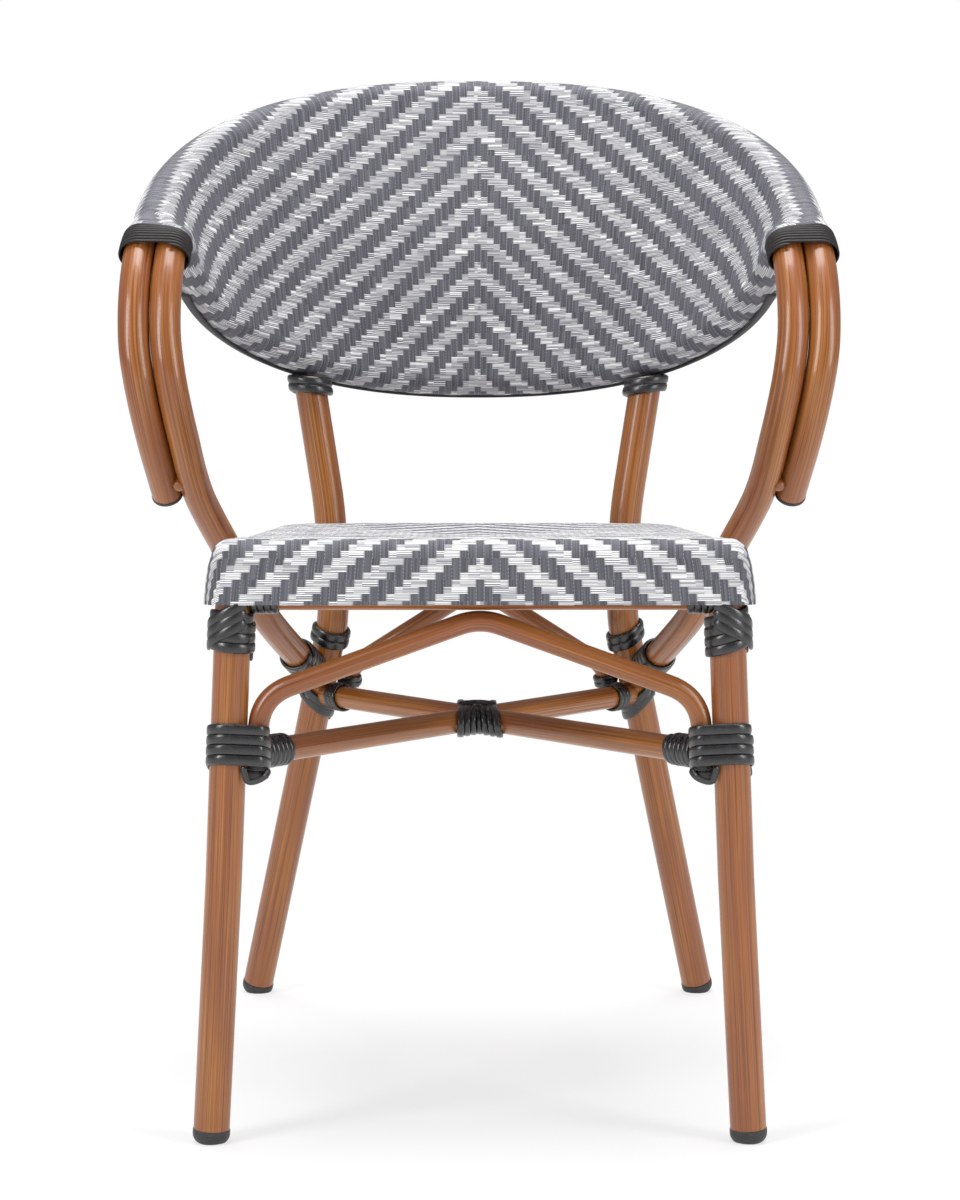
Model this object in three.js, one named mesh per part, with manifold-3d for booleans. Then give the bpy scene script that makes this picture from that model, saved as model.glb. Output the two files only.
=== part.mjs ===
// A stacking bistro armchair: a frame of bent metal tube, a woven sleeve round the two back hoops,
// a woven sling on the seat frame, and black strap lashings at the joints.
// Millimetres, +Z up. The front faces -Y, and the origin is on the floor under the middle of the chair.
// Left and right are those of someone who looks at the front: left is -X.
import * as THREE from "three";
import { mergeVertices } from "three/addons/utils/BufferGeometryUtils.js";
import Module from "manifold-3d";

const wasm = await Module();
wasm.setup();

// Tube diameters
const leg_d = 27;
const arm_d = 24;
const rim_d = 22;
const rail_d = 22;
const carrier_d = 19;
const stretcher_d = 19;
const brace_d = 15.5;
const strut_d = 14;

// Fits
const fit_gap = 0.3;
const sleeve_gap = 0.8;
const fabric = 1.3;
const weld_tolerance = 0.0001;

// Stance: the depths below are measured back from the plane of the front legs
const stance_depth = 510;
const front_foot_half = 199.8;
const front_knee_half = 188.8;
const front_knee_height = 197;
const front_top_half = 178.8;
const front_knee_bend = 900;
const rear_foot_half = 201.5;
const rear_knee_half = 125.2;
const rear_knee_height = 350;
const rear_knee_depth = 406;
const rear_knee_bend = 90;
const rear_neck_half = 127;
const rear_neck_height = 440;
const rear_neck_depth = 405;
const rear_neck_bend = 320;
const leg_meet_half = 147;
const leg_meet_drop = 9;

// Seat
const seat_height = 449;
const seat_fall = 14.3;
const front_rail_depth = -5;
const front_rail_half = 179;
const seat_front_half = 197.3;
const seat_leg_half = 192.5;
const seat_leg_depth = 14;
const seat_flare_half = 181.5;
const seat_flare_depth = 50;
const seat_rear_half = 169.5;
const seat_rear_depth = 396;
const seat_rear_bow = 3;
const seat_front_corner = 14;
const seat_rear_corner = 78;
const seat_sag = 5;
const skirt_height = 47.5;
const skirt_spread = 6;
const skirt_bulge = 0.6;
const skirt_leg_depth = 17;
const carrier_depth = 246;
const carrier_drop = 36;
const cross_rail_drop = 41.6;
const rear_rail_drop = 43;

// Back hoops: each is a flat superellipse, the upper tilted up to the rear and the lower down
const upper_power = 2.38;
const upper_half = 258.6;
const upper_side_depth = 195;
const upper_side_height = 680;
const upper_reach = 305;
const upper_rise = 125.2;
const lower_power = 2.25;
const lower_half = 237.6;
const lower_side_depth = 190;
const lower_side_height = 667;
const lower_reach = 270;
const lower_drop = 109.5;

// Arms: the outer tube ends in a cap, the inner one runs on down to the rear leg
const arm_half = 265;
const arm_front_depth = 112;
const arm_gap_top = 0.68;
const arm_gap_low = 1.2;
const arm_out_shares = [0.9699, 0.9921, 0.9825, 0.9302, 0.8493, 0.7572];
const arm_depth_shares = [0.56, 0.21, 0.02, 0, 0.22, 0.68];
const arm_height_shares = [0.976, 0.9265, 0.871, 0.821, 0.7605, 0.6955];
const tail_out_shares = [1.5149, 1.2612, 0.8778, 0.3543];
const tail_back_shares = [0.1917, 0.3256, 0.5036, 0.7957];
const tail_drop_shares = [0.2439, 0.4039, 0.6304, 0.8638];
const tail_end_height = 297;
const nub_d = 13;
const nub_share = 0.27;
const sleeve_end_share = 1.65;
const arm_cap_length = 4;
const arm_cap_lip = 0.4;

// Braces and stretchers
const stretcher_front_height = 287.7;
const stretcher_rear_height = 283.2;
const arch_foot_height = 283.5;
const arch_knee_height = 333.5;
const arch_knee_bend = 41;
const arch_crown_bend = 45;
const rear_arch_foot_height = 295;
const rear_arch_knee_height = 313.5;
const rear_arch_knee_bend = 26;
const rear_arch_crown_bend = 40;
const plug_length = 4;
const plug_straight_share = 0.6;
const plug_tip_share = 0.8;
const strut_half = 118;

// Feet
const collar_d = 27.8;
const collar_height = 5.6;
const glide_d = 22.4;
const glide_height = 5.2;
const glide_round = 2;
const floor_cut = 1.2;

// Lashings: width lies along the tube, thickness stands off it
const strap_width = 6.8;
const strap_thickness = 2.6;
const strap_pitch = 7.5;
const thin_width = 4.4;
const thin_thickness = 2.4;
const thin_pitch = 4.9;
const band_width = 3.1;
const band_thickness = 2;
const ferrule_thickness = 4.4;
const leg_lashing_turns = 4;
const leg_lashing_height = 377.5;
const leg_lashing_pitch = 7.3;
const leg_lashing_lean = 2.4;
const rail_lashing_turns = 4;
const rail_lashing_start = 3;
const ring_turns = 4;
const ring_height = 291.5;
const ring_lean = 3.8;
const ring_splay = 11;
const stretcher_lashing_turns = 6;
const stretcher_lashing_start = 33;
const centre_turns = 6;
const centre_width = 4.9;
const centre_pitch = 5.6;
const rear_ring_turns = 2;
const rear_ring_height = 334;
const arm_end_turns = 3;
const arm_end_clearance = 0.54;
const rear_stretcher_turns = 3;
const rear_stretcher_start = 25;
const arch_end_turns = 2;
const low_ring_turns = 2;
const low_ring_height = 268;
const low_ring_lean = 5;
const ferrule_turns = 2;
const ferrule_height = 548;
const ferrule_width = 5.6;
const ferrule_pitch = 6.2;
const ferrule_lean = 5.2;
const band_turns = 5;
const band_gap = 1.6;
const band_start_stations = 2.32;
const band_stop_stations = 1.4;
const trim_width = 7;
const trim_thickness = 3;
const trim_turn_share = 0.14;
const trim_stop_stations = 3;

// How finely round things are divided
const leg_sides = 10;
const thin_sides = 8;
const hoop_segments = 36;
const station_easing = 1.19;
const outer_arm_points = 12;
const inner_arm_points = 20;
const arc_points = 6;
const turn_steps = 10;
const foot_sides = 14;
const plug_sides = 12;
const trim_sides = 6;
const cutter_sides = 8;
const bend_steps = 4;
const halvings = 40;
const curve_tension = 0.5;
const cope_stations = [-3, -2, -1, 0, 1, 2, 3];

// A bend takes up at most this share of the run on each side of it
const bend_room_share = 0.48;

const half = (size) => size / 2;
const rim_set = half(rim_d) + fit_gap + fabric;
const skirt_depth = front_rail_depth - rim_set;
const front_y = -half(stance_depth + half(glide_d) + skirt_depth);
const seatTop = (depth) =>
  seat_height - (seat_fall * (depth - skirt_depth)) / (seat_rear_depth - skirt_depth);
const at = (x, depth, z) => new THREE.Vector3(x, front_y + depth, z);
const sides_of = { left: -1, right: 1 };

const tube_brown = new THREE.MeshStandardMaterial({ color: 0xa5683a, roughness: 0.35, metalness: 0.1 });
const strap_black = new THREE.MeshStandardMaterial({ color: 0x2b2c2e, roughness: 0.4, metalness: 0 });
const cap_black = new THREE.MeshStandardMaterial({ color: 0x2a2a2a, roughness: 0.6, metalness: 0 });
const weave_grey = new THREE.MeshStandardMaterial({ color: 0xa9aab0, roughness: 0.7, metalness: 0 });

const chair = new THREE.Group();

// A closed geometry as a solid that can be joined and cut
function solidOf(geometry) {
  const bare = geometry.clone();
  bare.deleteAttribute("normal");
  bare.deleteAttribute("uv");
  const merged = mergeVertices(bare, weld_tolerance);
  return new wasm.Manifold(
    new wasm.Mesh({
      numProp: 3,
      vertProperties: new Float32Array(merged.attributes.position.array),
      triVerts: new Uint32Array(merged.index.array),
    }),
  );
}

function geometryOf(solid) {
  const mesh = solid.getMesh();
  const geometry = new THREE.BufferGeometry();
  geometry.setAttribute("position", new THREE.BufferAttribute(new Float32Array(mesh.vertProperties), 3));
  geometry.setIndex(new THREE.BufferAttribute(new Uint32Array(mesh.triVerts), 1));
  return geometry;
}

function cut(geometry, cutters) {
  return geometryOf(cutters.reduce((left, cutter) => left.subtract(cutter), solidOf(geometry)));
}

function add(name, geometry, material) {
  const mesh = new THREE.Mesh(geometry, material);
  mesh.name = name;
  chair.add(mesh);
  return mesh;
}

// Straight runs whose inner corners are rounded to the given bend radii
function bentRun(corners, bends) {
  const path = new THREE.CurvePath();
  let from = corners[0];
  for (let i = 1; i < corners.length - 1; i++) {
    const back = corners[i - 1].clone().sub(corners[i]);
    const ahead = corners[i + 1].clone().sub(corners[i]);
    const room = bend_room_share * Math.min(back.length(), ahead.length());
    const turn = Math.PI - back.angleTo(ahead);
    const setback = Math.min(bends[i - 1] * Math.tan(turn / 2), room);
    const enter = corners[i].clone().addScaledVector(back.normalize(), setback);
    const leave = corners[i].clone().addScaledVector(ahead.normalize(), setback);
    path.add(new THREE.LineCurve3(from, enter));
    path.add(new THREE.QuadraticBezierCurve3(enter, corners[i], leave));
    from = leave;
  }
  path.add(new THREE.LineCurve3(from, corners[corners.length - 1]));
  return path;
}

// A round section as a polygon, and a tube of it along a curve
function roundSection(diameter, sides) {
  const points = [];
  for (let i = 0; i < sides; i++) {
    const angle = (2 * Math.PI * i) / sides;
    points.push(new THREE.Vector2(Math.cos(angle), Math.sin(angle)).multiplyScalar(half(diameter)));
  }
  return new THREE.Shape(points);
}

function tube(route, extra = 0) {
  return new THREE.ExtrudeGeometry(roundSection(route.diameter + 2 * extra, route.sides), {
    steps: route.steps,
    extrudePath: route.rings ?? route.curve,
    bevelEnabled: false,
  });
}

const cutterOf = (route) => solidOf(tube(route, fit_gap));
const route = (curve, diameter, steps, sides) => ({ curve, diameter, steps, sides });
const line = (from, to) => new THREE.LineCurve3(from, to);

// A smooth curve through points, whose tube has one ring at each point
class StationCurve extends THREE.CatmullRomCurve3 {
  constructor(points) {
    super(points, false, "catmullrom", curve_tension);
  }
  getSpacedPoints(count) {
    return this.getPoints(count);
  }
  getTangentAt(share, target) {
    return this.getTangent(share, target);
  }
}
const stationRoute = (points, diameter, sides) =>
  route(new StationCurve(points), diameter, points.length - 1, sides);

// A bent run, whose tube has rings at both ends of each bend and at even steps along it
function bentRoute(corners, bends, diameter, sides) {
  const curve = bentRun(corners, bends);
  const points = curve.curves.flatMap((piece) => {
    const steps = piece.isLineCurve3 ? 1 : bend_steps;
    return Array.from({ length: steps }, (unused, i) => piece.getPoint(i / steps));
  });
  points.push(curve.getPoint(1));
  return { ...route(curve, diameter, points.length - 1, sides), rings: new StationCurve(points) };
}

// The same smooth curve as it is, and as evenly spaced points without the last one
const smoothCurve = (points) => new THREE.CatmullRomCurve3(points, false, "catmullrom", curve_tension);
const respaced = (points, count) => smoothCurve(points).getSpacedPoints(count).slice(0, -1);

// The point of a run at a height, found between its two ends by halving
function pointAtHeight(curve, height) {
  let low = 0;
  let high = 1;
  const rising = curve.getPoint(1).z > curve.getPoint(0).z;
  for (let i = 0; i < halvings; i++) {
    const middle = (low + high) / 2;
    if (curve.getPoint(middle).z < height === rising) low = middle;
    else high = middle;
  }
  const point = curve.getPoint((low + high) / 2);
  const direction = curve.getTangent((low + high) / 2);
  return { point, direction: rising ? direction : direction.negate() };
}

// A closed skin over rings of points, whose four-cornered fields are split along the shorter diagonal.
// A ring of one point is a tip, and a looped skin joins its last ring to its first one.
function skin(rings, looped = false) {
  const positions = [];
  const starts = [];
  for (const ring of rings) {
    starts.push(positions.length / 3);
    for (const point of ring) positions.push(point.x, point.y, point.z);
  }
  const corner = (i) => new THREE.Vector3().fromArray(positions, 3 * i);
  const apart = (i, j) => corner(i).distanceTo(corner(j));
  const index = [];
  const pairs = looped ? rings.length : rings.length - 1;
  for (let i = 0; i < pairs; i++) {
    const next = (i + 1) % rings.length;
    const count = Math.max(rings[i].length, rings[next].length);
    for (let j = 0; j < count; j++) {
      const a = starts[i] + (j % rings[i].length);
      const b = starts[i] + ((j + 1) % rings[i].length);
      const c = starts[next] + (j % rings[next].length);
      const d = starts[next] + ((j + 1) % rings[next].length);
      if (a === b) index.push(b, d, c);
      else if (c === d) index.push(a, b, c);
      else if (apart(b, c) < apart(a, d) + weld_tolerance) index.push(a, b, c, b, d, c);
      else index.push(a, b, d, a, d, c);
    }
  }
  if (!looped) {
    const last = rings.length - 1;
    for (let j = 1; j + 1 < rings[0].length; j++)
      index.push(starts[0], starts[0] + j + 1, starts[0] + j);
    for (let j = 1; j + 1 < rings[last].length; j++)
      index.push(starts[last], starts[last] + j, starts[last] + j + 1);
  }
  const geometry = new THREE.BufferGeometry();
  geometry.setAttribute("position", new THREE.BufferAttribute(new Float32Array(positions), 3));
  geometry.setIndex(facingOut(positions, index));
  return geometry;
}

// The same triangles, turned round if they enclose a negative volume
function facingOut(positions, index) {
  let volume = 0;
  const corner = (i) => new THREE.Vector3().fromArray(positions, 3 * i);
  for (let i = 0; i < index.length; i += 3)
    volume += corner(index[i]).dot(corner(index[i + 1]).cross(corner(index[i + 2])));
  if (volume > 0) return index;
  for (let i = 0; i < index.length; i += 3)
    [index[i + 1], index[i + 2]] = [index[i + 2], index[i + 1]];
  return index;
}

// Front legs, from the floor side of the foot cap up to the seat front rail
const front_rail_height = seatTop(front_rail_depth) - rim_set;
const leg_top = front_rail_height - half(rim_d) - fit_gap;
const cap_height = glide_height + collar_height;

function frontLegRoute(side) {
  const corners = [
    at(side * front_foot_half, 0, 0),
    at(side * front_knee_half, 0, front_knee_height),
    at(side * front_top_half, 0, leg_top),
  ];
  return bentRoute(corners, [front_knee_bend], leg_d, leg_sides);
}

// Rear legs, raked out and back below the knee, to the underside of the lower back hoop
function rearLegRoute(side, top) {
  const corners = [
    at(side * rear_foot_half, stance_depth, 0),
    at(side * rear_knee_half, rear_knee_depth, rear_knee_height),
    at(side * rear_neck_half, rear_neck_depth, rear_neck_height),
    top,
  ];
  return bentRoute(corners, [rear_knee_bend, rear_neck_bend], leg_d, leg_sides);
}

// Back hoops
function hoopPoint(angle, power, half_width, side_depth, side_height, reach, climb) {
  const across = Math.sign(Math.sin(angle)) * Math.abs(Math.sin(angle)) ** (2 / power);
  const back = Math.max(0, Math.cos(angle)) ** (2 / power);
  return at(half_width * across, side_depth + reach * back, side_height + climb * back);
}

const upperPoint = (angle) =>
  hoopPoint(angle, upper_power, upper_half, upper_side_depth, upper_side_height, upper_reach, upper_rise);
const lowerPoint = (angle) =>
  hoopPoint(angle, lower_power, lower_half, lower_side_depth, lower_side_height, lower_reach, -lower_drop);

// The arm stands out from the seat's side, and its tail goes from there in to the rear leg
function outerArm(side) {
  return arm_out_shares.map((share, i) =>
    at(
      side * (seat_flare_half + (arm_half - seat_flare_half) * share),
      arm_front_depth + (upper_side_depth - arm_front_depth) * arm_depth_shares[i],
      upper_side_height * arm_height_shares[i],
    ),
  );
}

// The two tubes of an arm lie side by side, with the gap between them measured square to the tubes
function innerArm(side, end) {
  const beside = outerArm(side).map((point, i, all) => {
    const last = all.length - 1;
    const gap = arm_gap_top + ((arm_gap_low - arm_gap_top) * i) / last;
    const heading = all[Math.min(i + 1, last)].clone().sub(all[Math.max(i - 1, 0)]).normalize();
    return point.clone().setX(point.x - (side * (arm_d + gap)) / Math.hypot(heading.y, heading.z));
  });
  const from = beside[beside.length - 1];
  const below = tail_out_shares.map((share, i) => {
    const x = end.x + (side * seat_flare_half - end.x) * share;
    const y = from.y + (end.y - from.y) * tail_back_shares[i];
    return new THREE.Vector3(x, y, from.z + (end.z - from.z) * tail_drop_shares[i]);
  });
  return [...beside, ...below, end];
}

// The points of a whole hoop: an arm, the arc with one point to a station, and the other arm
function hoopPoints(pointAt, armOf, arm_points) {
  const arc = [];
  for (let i = 0; i <= hoop_segments; i++) {
    const from_middle = (2 * i) / hoop_segments - 1;
    const turned = 1 - (1 - Math.abs(from_middle)) ** station_easing;
    arc.push(pointAt((Math.sign(from_middle) * turned * Math.PI) / 2));
  }
  const left = respaced([...armOf(sides_of.left).reverse(), arc[0]], arm_points);
  const right = respaced([...armOf(sides_of.right).reverse(), arc[hoop_segments]], arm_points).reverse();
  return [...left, ...arc, ...right];
}

// Where the lower hoop meets a rear leg, and where the arm tube's tail meets it
const leg_meet_angle = Math.asin((leg_meet_half / lower_half) ** half(lower_power));
const legTop = (side) => lowerPoint(side * leg_meet_angle).sub(new THREE.Vector3(0, 0, leg_meet_drop));
const rear_leg = {};
const front_leg = {};
for (const [name, side] of Object.entries(sides_of)) {
  front_leg[name] = frontLegRoute(side);
  rear_leg[name] = rearLegRoute(side, legTop(side));
}
const tailEnd = (side) => pointAtHeight(rear_leg[side < 0 ? "left" : "right"].curve, tail_end_height).point;

const upper_rail = stationRoute(hoopPoints(upperPoint, outerArm, outer_arm_points), arm_d, leg_sides);
const inner_arm = (side) => innerArm(side, tailEnd(side));
const lower_rail = stationRoute(hoopPoints(lowerPoint, inner_arm, inner_arm_points), arm_d, leg_sides);

// A point and heading on a hoop at a count of stations from its middle, on the facets of its tube
function onHoop(rail, count) {
  const middle = half(rail.curve.points.length - 1);
  const low = Math.floor(middle + count);
  const points = rail.curve.points;
  const steps = points.length - 1;
  const share = middle + count - low;
  const point = points[low].clone().lerp(points[Math.min(low + 1, steps)], share);
  const heading = rail.curve.getTangent(low / steps).lerp(rail.curve.getTangent((low + 1) / steps), share);
  return { point, heading: heading.normalize() };
}

// Along the arms, the lower tube's station that lies beside the upper tube's
function besideStation(count) {
  const end = half(hoop_segments);
  if (Math.abs(count) <= end) return count;
  const side = Math.sign(count);
  const beside = onHoop(upper_rail, count).point;
  let low = end;
  let high = Math.abs(count);
  for (let i = 0; i < halvings; i++) {
    const middle = half(low + high);
    const { point, heading } = onHoop(lower_rail, side * middle);
    if (side * point.clone().sub(beside).dot(heading) < 0) low = middle;
    else high = middle;
  }
  return side * high;
}

// At a station: each hoop's point, with the direction away from the other hoop and the outward one,
// both square to that hoop
function pairAxes(count) {
  const upper = onHoop(upper_rail, count);
  const lower = onHoop(lower_rail, besideStation(count));
  const apart = upper.point.clone().sub(lower.point);
  return [[upper, 1], [lower, -1]].map(([{ point, heading }, sign]) => {
    const away = apart.clone().multiplyScalar(sign);
    away.addScaledVector(heading, -away.dot(heading)).normalize();
    return { point, away, outward: heading.clone().cross(away).multiplyScalar(sign) };
  });
}

// The station at which a hoop reaches a distance from the middle, on the right half
function stationAt(rail, distance) {
  let low = 0;
  let high = half(hoop_segments);
  for (let i = 0; i < halvings; i++) {
    const middle = half(low + high);
    if (onHoop(rail, middle).point.x < distance) low = middle;
    else high = middle;
  }
  return high;
}

// The outline round both hoops at a station: two half circles joined by straight lines
function pairOutline(count, radius, points) {
  return pairAxes(count).flatMap(({ point, away, outward }, which) =>
    Array.from({ length: points }, (unused, i) => {
      const angle = (which ? -1 : 1) * (-Math.PI / 2 + (Math.PI * i) / (points - 1));
      const spoke = away.clone().multiplyScalar(Math.cos(angle)).addScaledVector(outward, Math.sin(angle));
      return point.clone().addScaledVector(spoke, radius);
    }),
  );
}

const arc_stretch = 1 / Math.cos(Math.PI / (2 * (arc_points - 1)));
const sleeve_inner = (half(arm_d) + sleeve_gap) * arc_stretch;
const sleeve_outer = sleeve_inner + fabric;
const sleeve_end = half(hoop_segments) + sleeve_end_share;

function sleeveRings(radius) {
  const stations = [-sleeve_end];
  for (let station = -Math.floor(sleeve_end); station <= sleeve_end; station++) stations.push(station);
  return [...stations, sleeve_end].map((station) => pairOutline(station, radius, arc_points));
}

function sleeve() {
  return skin([...sleeveRings(sleeve_outer), ...sleeveRings(sleeve_inner).reverse()], true);
}

// The black edge strip under the lower hoop's fabric
function trimRings(extra) {
  const rings = [];
  const end = half(hoop_segments) - trim_stop_stations;
  for (let station = -end; station <= end; station++) {
    const lower = pairAxes(station)[1];
    const turn = Math.PI * trim_turn_share;
    const turned = (angle) =>
      lower.away.clone().multiplyScalar(Math.cos(angle)).addScaledVector(lower.outward, Math.sin(angle));
    const spoke = turned(-turn);
    const across = turned(Math.PI / 2 - turn);
    const stand = sleeve_outer + fit_gap + half(trim_thickness);
    const ring = [];
    for (let j = 0; j < trim_sides; j++) {
      const angle = (2 * Math.PI * j) / trim_sides;
      ring.push(
        lower.point
          .clone()
          .addScaledVector(spoke, stand + (half(trim_thickness) + extra) * Math.sin(angle))
          .addScaledVector(across, (half(trim_width) + extra) * Math.cos(angle)),
      );
    }
    rings.push(ring);
  }
  return rings;
}

// The seat's outline from above, with its outward direction at each point. The right half is drawn
// from the middle of the front to the middle of the rear, and the left half is its mirror image.
const outline_divisions = [4, 4, 1, 2, 1, 2, 4, 6, 3];
function seatOutline() {
  const corners = [
    new THREE.Vector3(0, skirt_depth, 0),
    new THREE.Vector3(seat_front_half, skirt_depth, 0),
    new THREE.Vector3(seat_leg_half, seat_leg_depth, 0),
    new THREE.Vector3(seat_flare_half, seat_flare_depth, 0),
    new THREE.Vector3(seat_rear_half, seat_rear_depth - seat_rear_bow, 0),
    new THREE.Vector3(0, seat_rear_depth, 0),
  ];
  const run = bentRun(corners, [seat_front_corner, seat_rear_corner, seat_rear_corner, seat_rear_corner]);
  const right = [];
  run.curves.forEach((piece, i) => {
    for (let j = 0; j < outline_divisions[i]; j++) {
      const { x, y } = piece.getPoint(j / outline_divisions[i]);
      const heading = piece.getTangent(j / outline_divisions[i]);
      right.push({ point: new THREE.Vector2(x, y), out: new THREE.Vector2(heading.y, -heading.x) });
    }
  });
  right.push({ point: new THREE.Vector2(0, seat_rear_depth), out: new THREE.Vector2(0, 1) });
  const left = right.slice(1, -1).reverse().map(({ point, out }) => ({
    point: new THREE.Vector2(-point.x, point.y),
    out: new THREE.Vector2(-out.x, out.y),
  }));
  return [...right, ...left];
}

const smooth = (low, high, value) => THREE.MathUtils.smoothstep(value, low, high);

// The sling: over the rim, round it and under it, and down in front of the legs as a skirt
const sling_shares = [0.4, 0.8];
const wrap_degrees = [90, 60, 30, 0, -35, -70, -105];
const widest_step_degrees = 35;
const wrap_stretch = 1 / Math.cos(THREE.MathUtils.degToRad(half(widest_step_degrees)));
function slingRings(layer) {
  const outline = seatOutline();
  const radius = (rim_set - layer) * wrap_stretch;
  const middle = new THREE.Vector2(0, half(seat_rear_depth));
  const rings = sling_shares.map((share) =>
    outline.map(({ point, out }) => {
      const edge = point.clone().addScaledVector(out, -rim_set);
      const spot = middle.clone().lerp(edge, share);
      return at(spot.x, spot.y, seatTop(spot.y) - layer - seat_sag * (1 - share * share) ** 2);
    }),
  );
  const level = wrap_degrees.indexOf(0);
  wrap_degrees.forEach((degrees, i) => {
    const angle = THREE.MathUtils.degToRad(degrees);
    rings.push(
      outline.map(({ point, out }) => {
        const centre = point.clone().addScaledVector(out, -rim_set);
        const z = seatTop(centre.y) - rim_set;
        const spot = centre.clone().addScaledVector(out, radius * Math.cos(angle));
        const round = at(spot.x, spot.y, z + radius * Math.sin(angle));
        if (i <= level) return round;
        const fallen = (i - level) / (wrap_degrees.length - 1 - level);
        const side = centre.clone().addScaledVector(out, radius);
        const spread = 1 + (skirt_spread / seat_front_half) * fallen ** skirt_bulge;
        const hung = at(side.x * spread, side.y, z + (seat_height - skirt_height - z) * fallen);
        return round.lerp(hung, 1 - smooth(skirt_leg_depth, seat_flare_depth, point.y));
      }),
    );
  });
  return rings;
}

function sling() {
  const tip = (layer) => [at(0, half(seat_rear_depth), seatTop(half(seat_rear_depth)) - layer - seat_sag)];
  return skin([tip(0), ...slingRings(0), ...slingRings(fabric).reverse(), tip(fabric)]);
}

// Seat frame
function seatRimRoute() {
  const inset = seatOutline()
    .filter(({ point }) => point.y >= seat_flare_depth)
    .map(({ point, out }) => point.clone().addScaledVector(out, -rim_set));
  const slope = (seat_flare_half - seat_rear_half) / (seat_rear_depth - seat_flare_depth);
  const front_x = seat_flare_half - rim_set + slope * (seat_flare_depth - front_rail_depth);
  const ends = [1, -1].map((side) => new THREE.Vector2(side * front_x, front_rail_depth));
  const spots = [ends[0], ...inset, ends[1]];
  return stationRoute(spots.map(({ x, y }) => at(x, y, seatTop(y) - rim_set)), rim_d, thin_sides);
}

const railEnd = (side) => at(side * front_rail_half, front_rail_depth, front_rail_height);
const front_rail = route(line(railEnd(-1), railEnd(1)), rim_d, 1, thin_sides);
const seat_rim = seatRimRoute();

function betweenLegs(legs, height) {
  const left = pointAtHeight(legs.left.curve, height).point;
  const right = pointAtHeight(legs.right.curve, height).point;
  return route(line(left, right), rail_d, 1, leg_sides);
}
const cross_rail = betweenLegs(front_leg, seat_height - cross_rail_drop);
const rear_rail = betweenLegs(rear_leg, seatTop(seat_rear_depth) - rear_rail_drop);

// The carrier tube under the seat, from arm tube to arm tube
function carrierRoute() {
  const height = seatTop(carrier_depth) - carrier_drop;
  const spot = (side) => {
    return pointAtHeight(smoothCurve(inner_arm(side)), height).point;
  };
  return route(line(spot(-1), spot(1)), carrier_d, 1, thin_sides);
}
const carrier = carrierRoute();

// A point beside a leg at a height, on its inner side and the given distance from its axis
function besideLeg(leg, side, height, distance) {
  const { point, direction } = pointAtHeight(leg.curve, height);
  const inward = new THREE.Vector3(-side, 0, 0);
  inward.addScaledVector(direction, -inward.dot(direction)).normalize();
  return point.clone().addScaledVector(inward, distance);
}

// Arch braces: a foot beside each leg, a knee, and a crown under the rail
function archRoute(legs, foot, knee, knee_bend, crown_bend, distance, rail_bottom) {
  const feet = (side, name) => besideLeg(legs[name], side, foot, distance);
  const knees = (side, name) => besideLeg(legs[name], side, knee, distance);
  const left_knee = knees(-1, "left");
  const right_knee = knees(1, "right");
  const crown_line = rail_bottom.z - half(brace_d);
  const slope = Math.atan((crown_line - left_knee.z) / Math.abs(left_knee.x));
  const crown = rail_bottom.clone().setZ(crown_line + crown_bend * (1 / Math.cos(slope) - 1));
  const corners = [feet(-1, "left"), left_knee, crown, right_knee, feet(1, "right")];
  return bentRoute(corners, [knee_bend, crown_bend, knee_bend], brace_d, thin_sides);
}

const under = (rail) => rail.curve.getPoint(0.5).sub(new THREE.Vector3(0, 0, half(rail.diameter) + fit_gap));
const ring_reach = half(leg_d) + half(brace_d) + fit_gap;
const arch_reach = ring_reach + thin_thickness + 2 * fit_gap;
const front_arch = archRoute(
  front_leg, arch_foot_height, arch_knee_height, arch_knee_bend, arch_crown_bend,
  ring_reach, under(cross_rail),
);
const rear_arch = archRoute(
  rear_leg, rear_arch_foot_height, rear_arch_knee_height, rear_arch_knee_bend, rear_arch_crown_bend,
  arch_reach, under(rear_rail),
);

// Crossed stretchers, each from a front leg to the opposite rear leg
function stretcherLine(front_name, rear_name) {
  const from = pointAtHeight(front_leg[front_name].curve, stretcher_front_height).point;
  const to = pointAtHeight(rear_leg[rear_name].curve, stretcher_rear_height).point;
  return { from, to, middle: from.clone().lerp(to, from.x / (from.x - to.x)) };
}
const long_line = stretcherLine("left", "right");
const split_line = stretcherLine("right", "left");
const long_stretcher = route(line(long_line.from, long_line.to), stretcher_d, 1, thin_sides);
const split_front = route(line(split_line.from, split_line.middle), stretcher_d, 1, thin_sides);
const split_rear = route(line(split_line.middle, split_line.to), stretcher_d, 1, thin_sides);

// One strap wound round a guide. The guide gives the point and outward direction at a share of the
// winding's travel and an angle. Both ends run straight for one strap width. A turn has an even number
// of steps that isn't a multiple of four, so that a strap round two tubes turns only on their far sides.
const least_gaps = [];
const strap_corners = [[1, 1], [-1, 1], [-1, -1], [1, -1]];
function winding(name, guide, turns, width, thickness) {
  const steps = Math.round(turns * turn_steps);
  const spots = [];
  for (let i = 0; i <= steps; i++) spots.push(guide(i / steps, (2 * Math.PI * i) / turn_steps));
  const lead = spots[0].point.clone().sub(spots[1].point).setLength(width);
  const tail = spots[steps].point.clone().sub(spots[steps - 1].point).setLength(width);
  spots.unshift({ point: spots[0].point.clone().add(lead), out: spots[0].out });
  spots.push({ point: spots[spots.length - 1].point.clone().add(tail), out: spots[spots.length - 1].out });
  const rings = spots.map(({ point, out }, i) => {
    const before = spots[Math.max(0, i - 1)].point;
    const after = spots[Math.min(spots.length - 1, i + 1)].point;
    const across = after.clone().sub(before).cross(out).normalize();
    return strap_corners.map(([side, face]) =>
      point
        .clone()
        .addScaledVector(across, half(width) * side)
        .addScaledVector(out, half(thickness) * face),
    );
  });
  least_gaps.push([name, leastGap(rings)]);
  return skin(rings);
}

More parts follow.
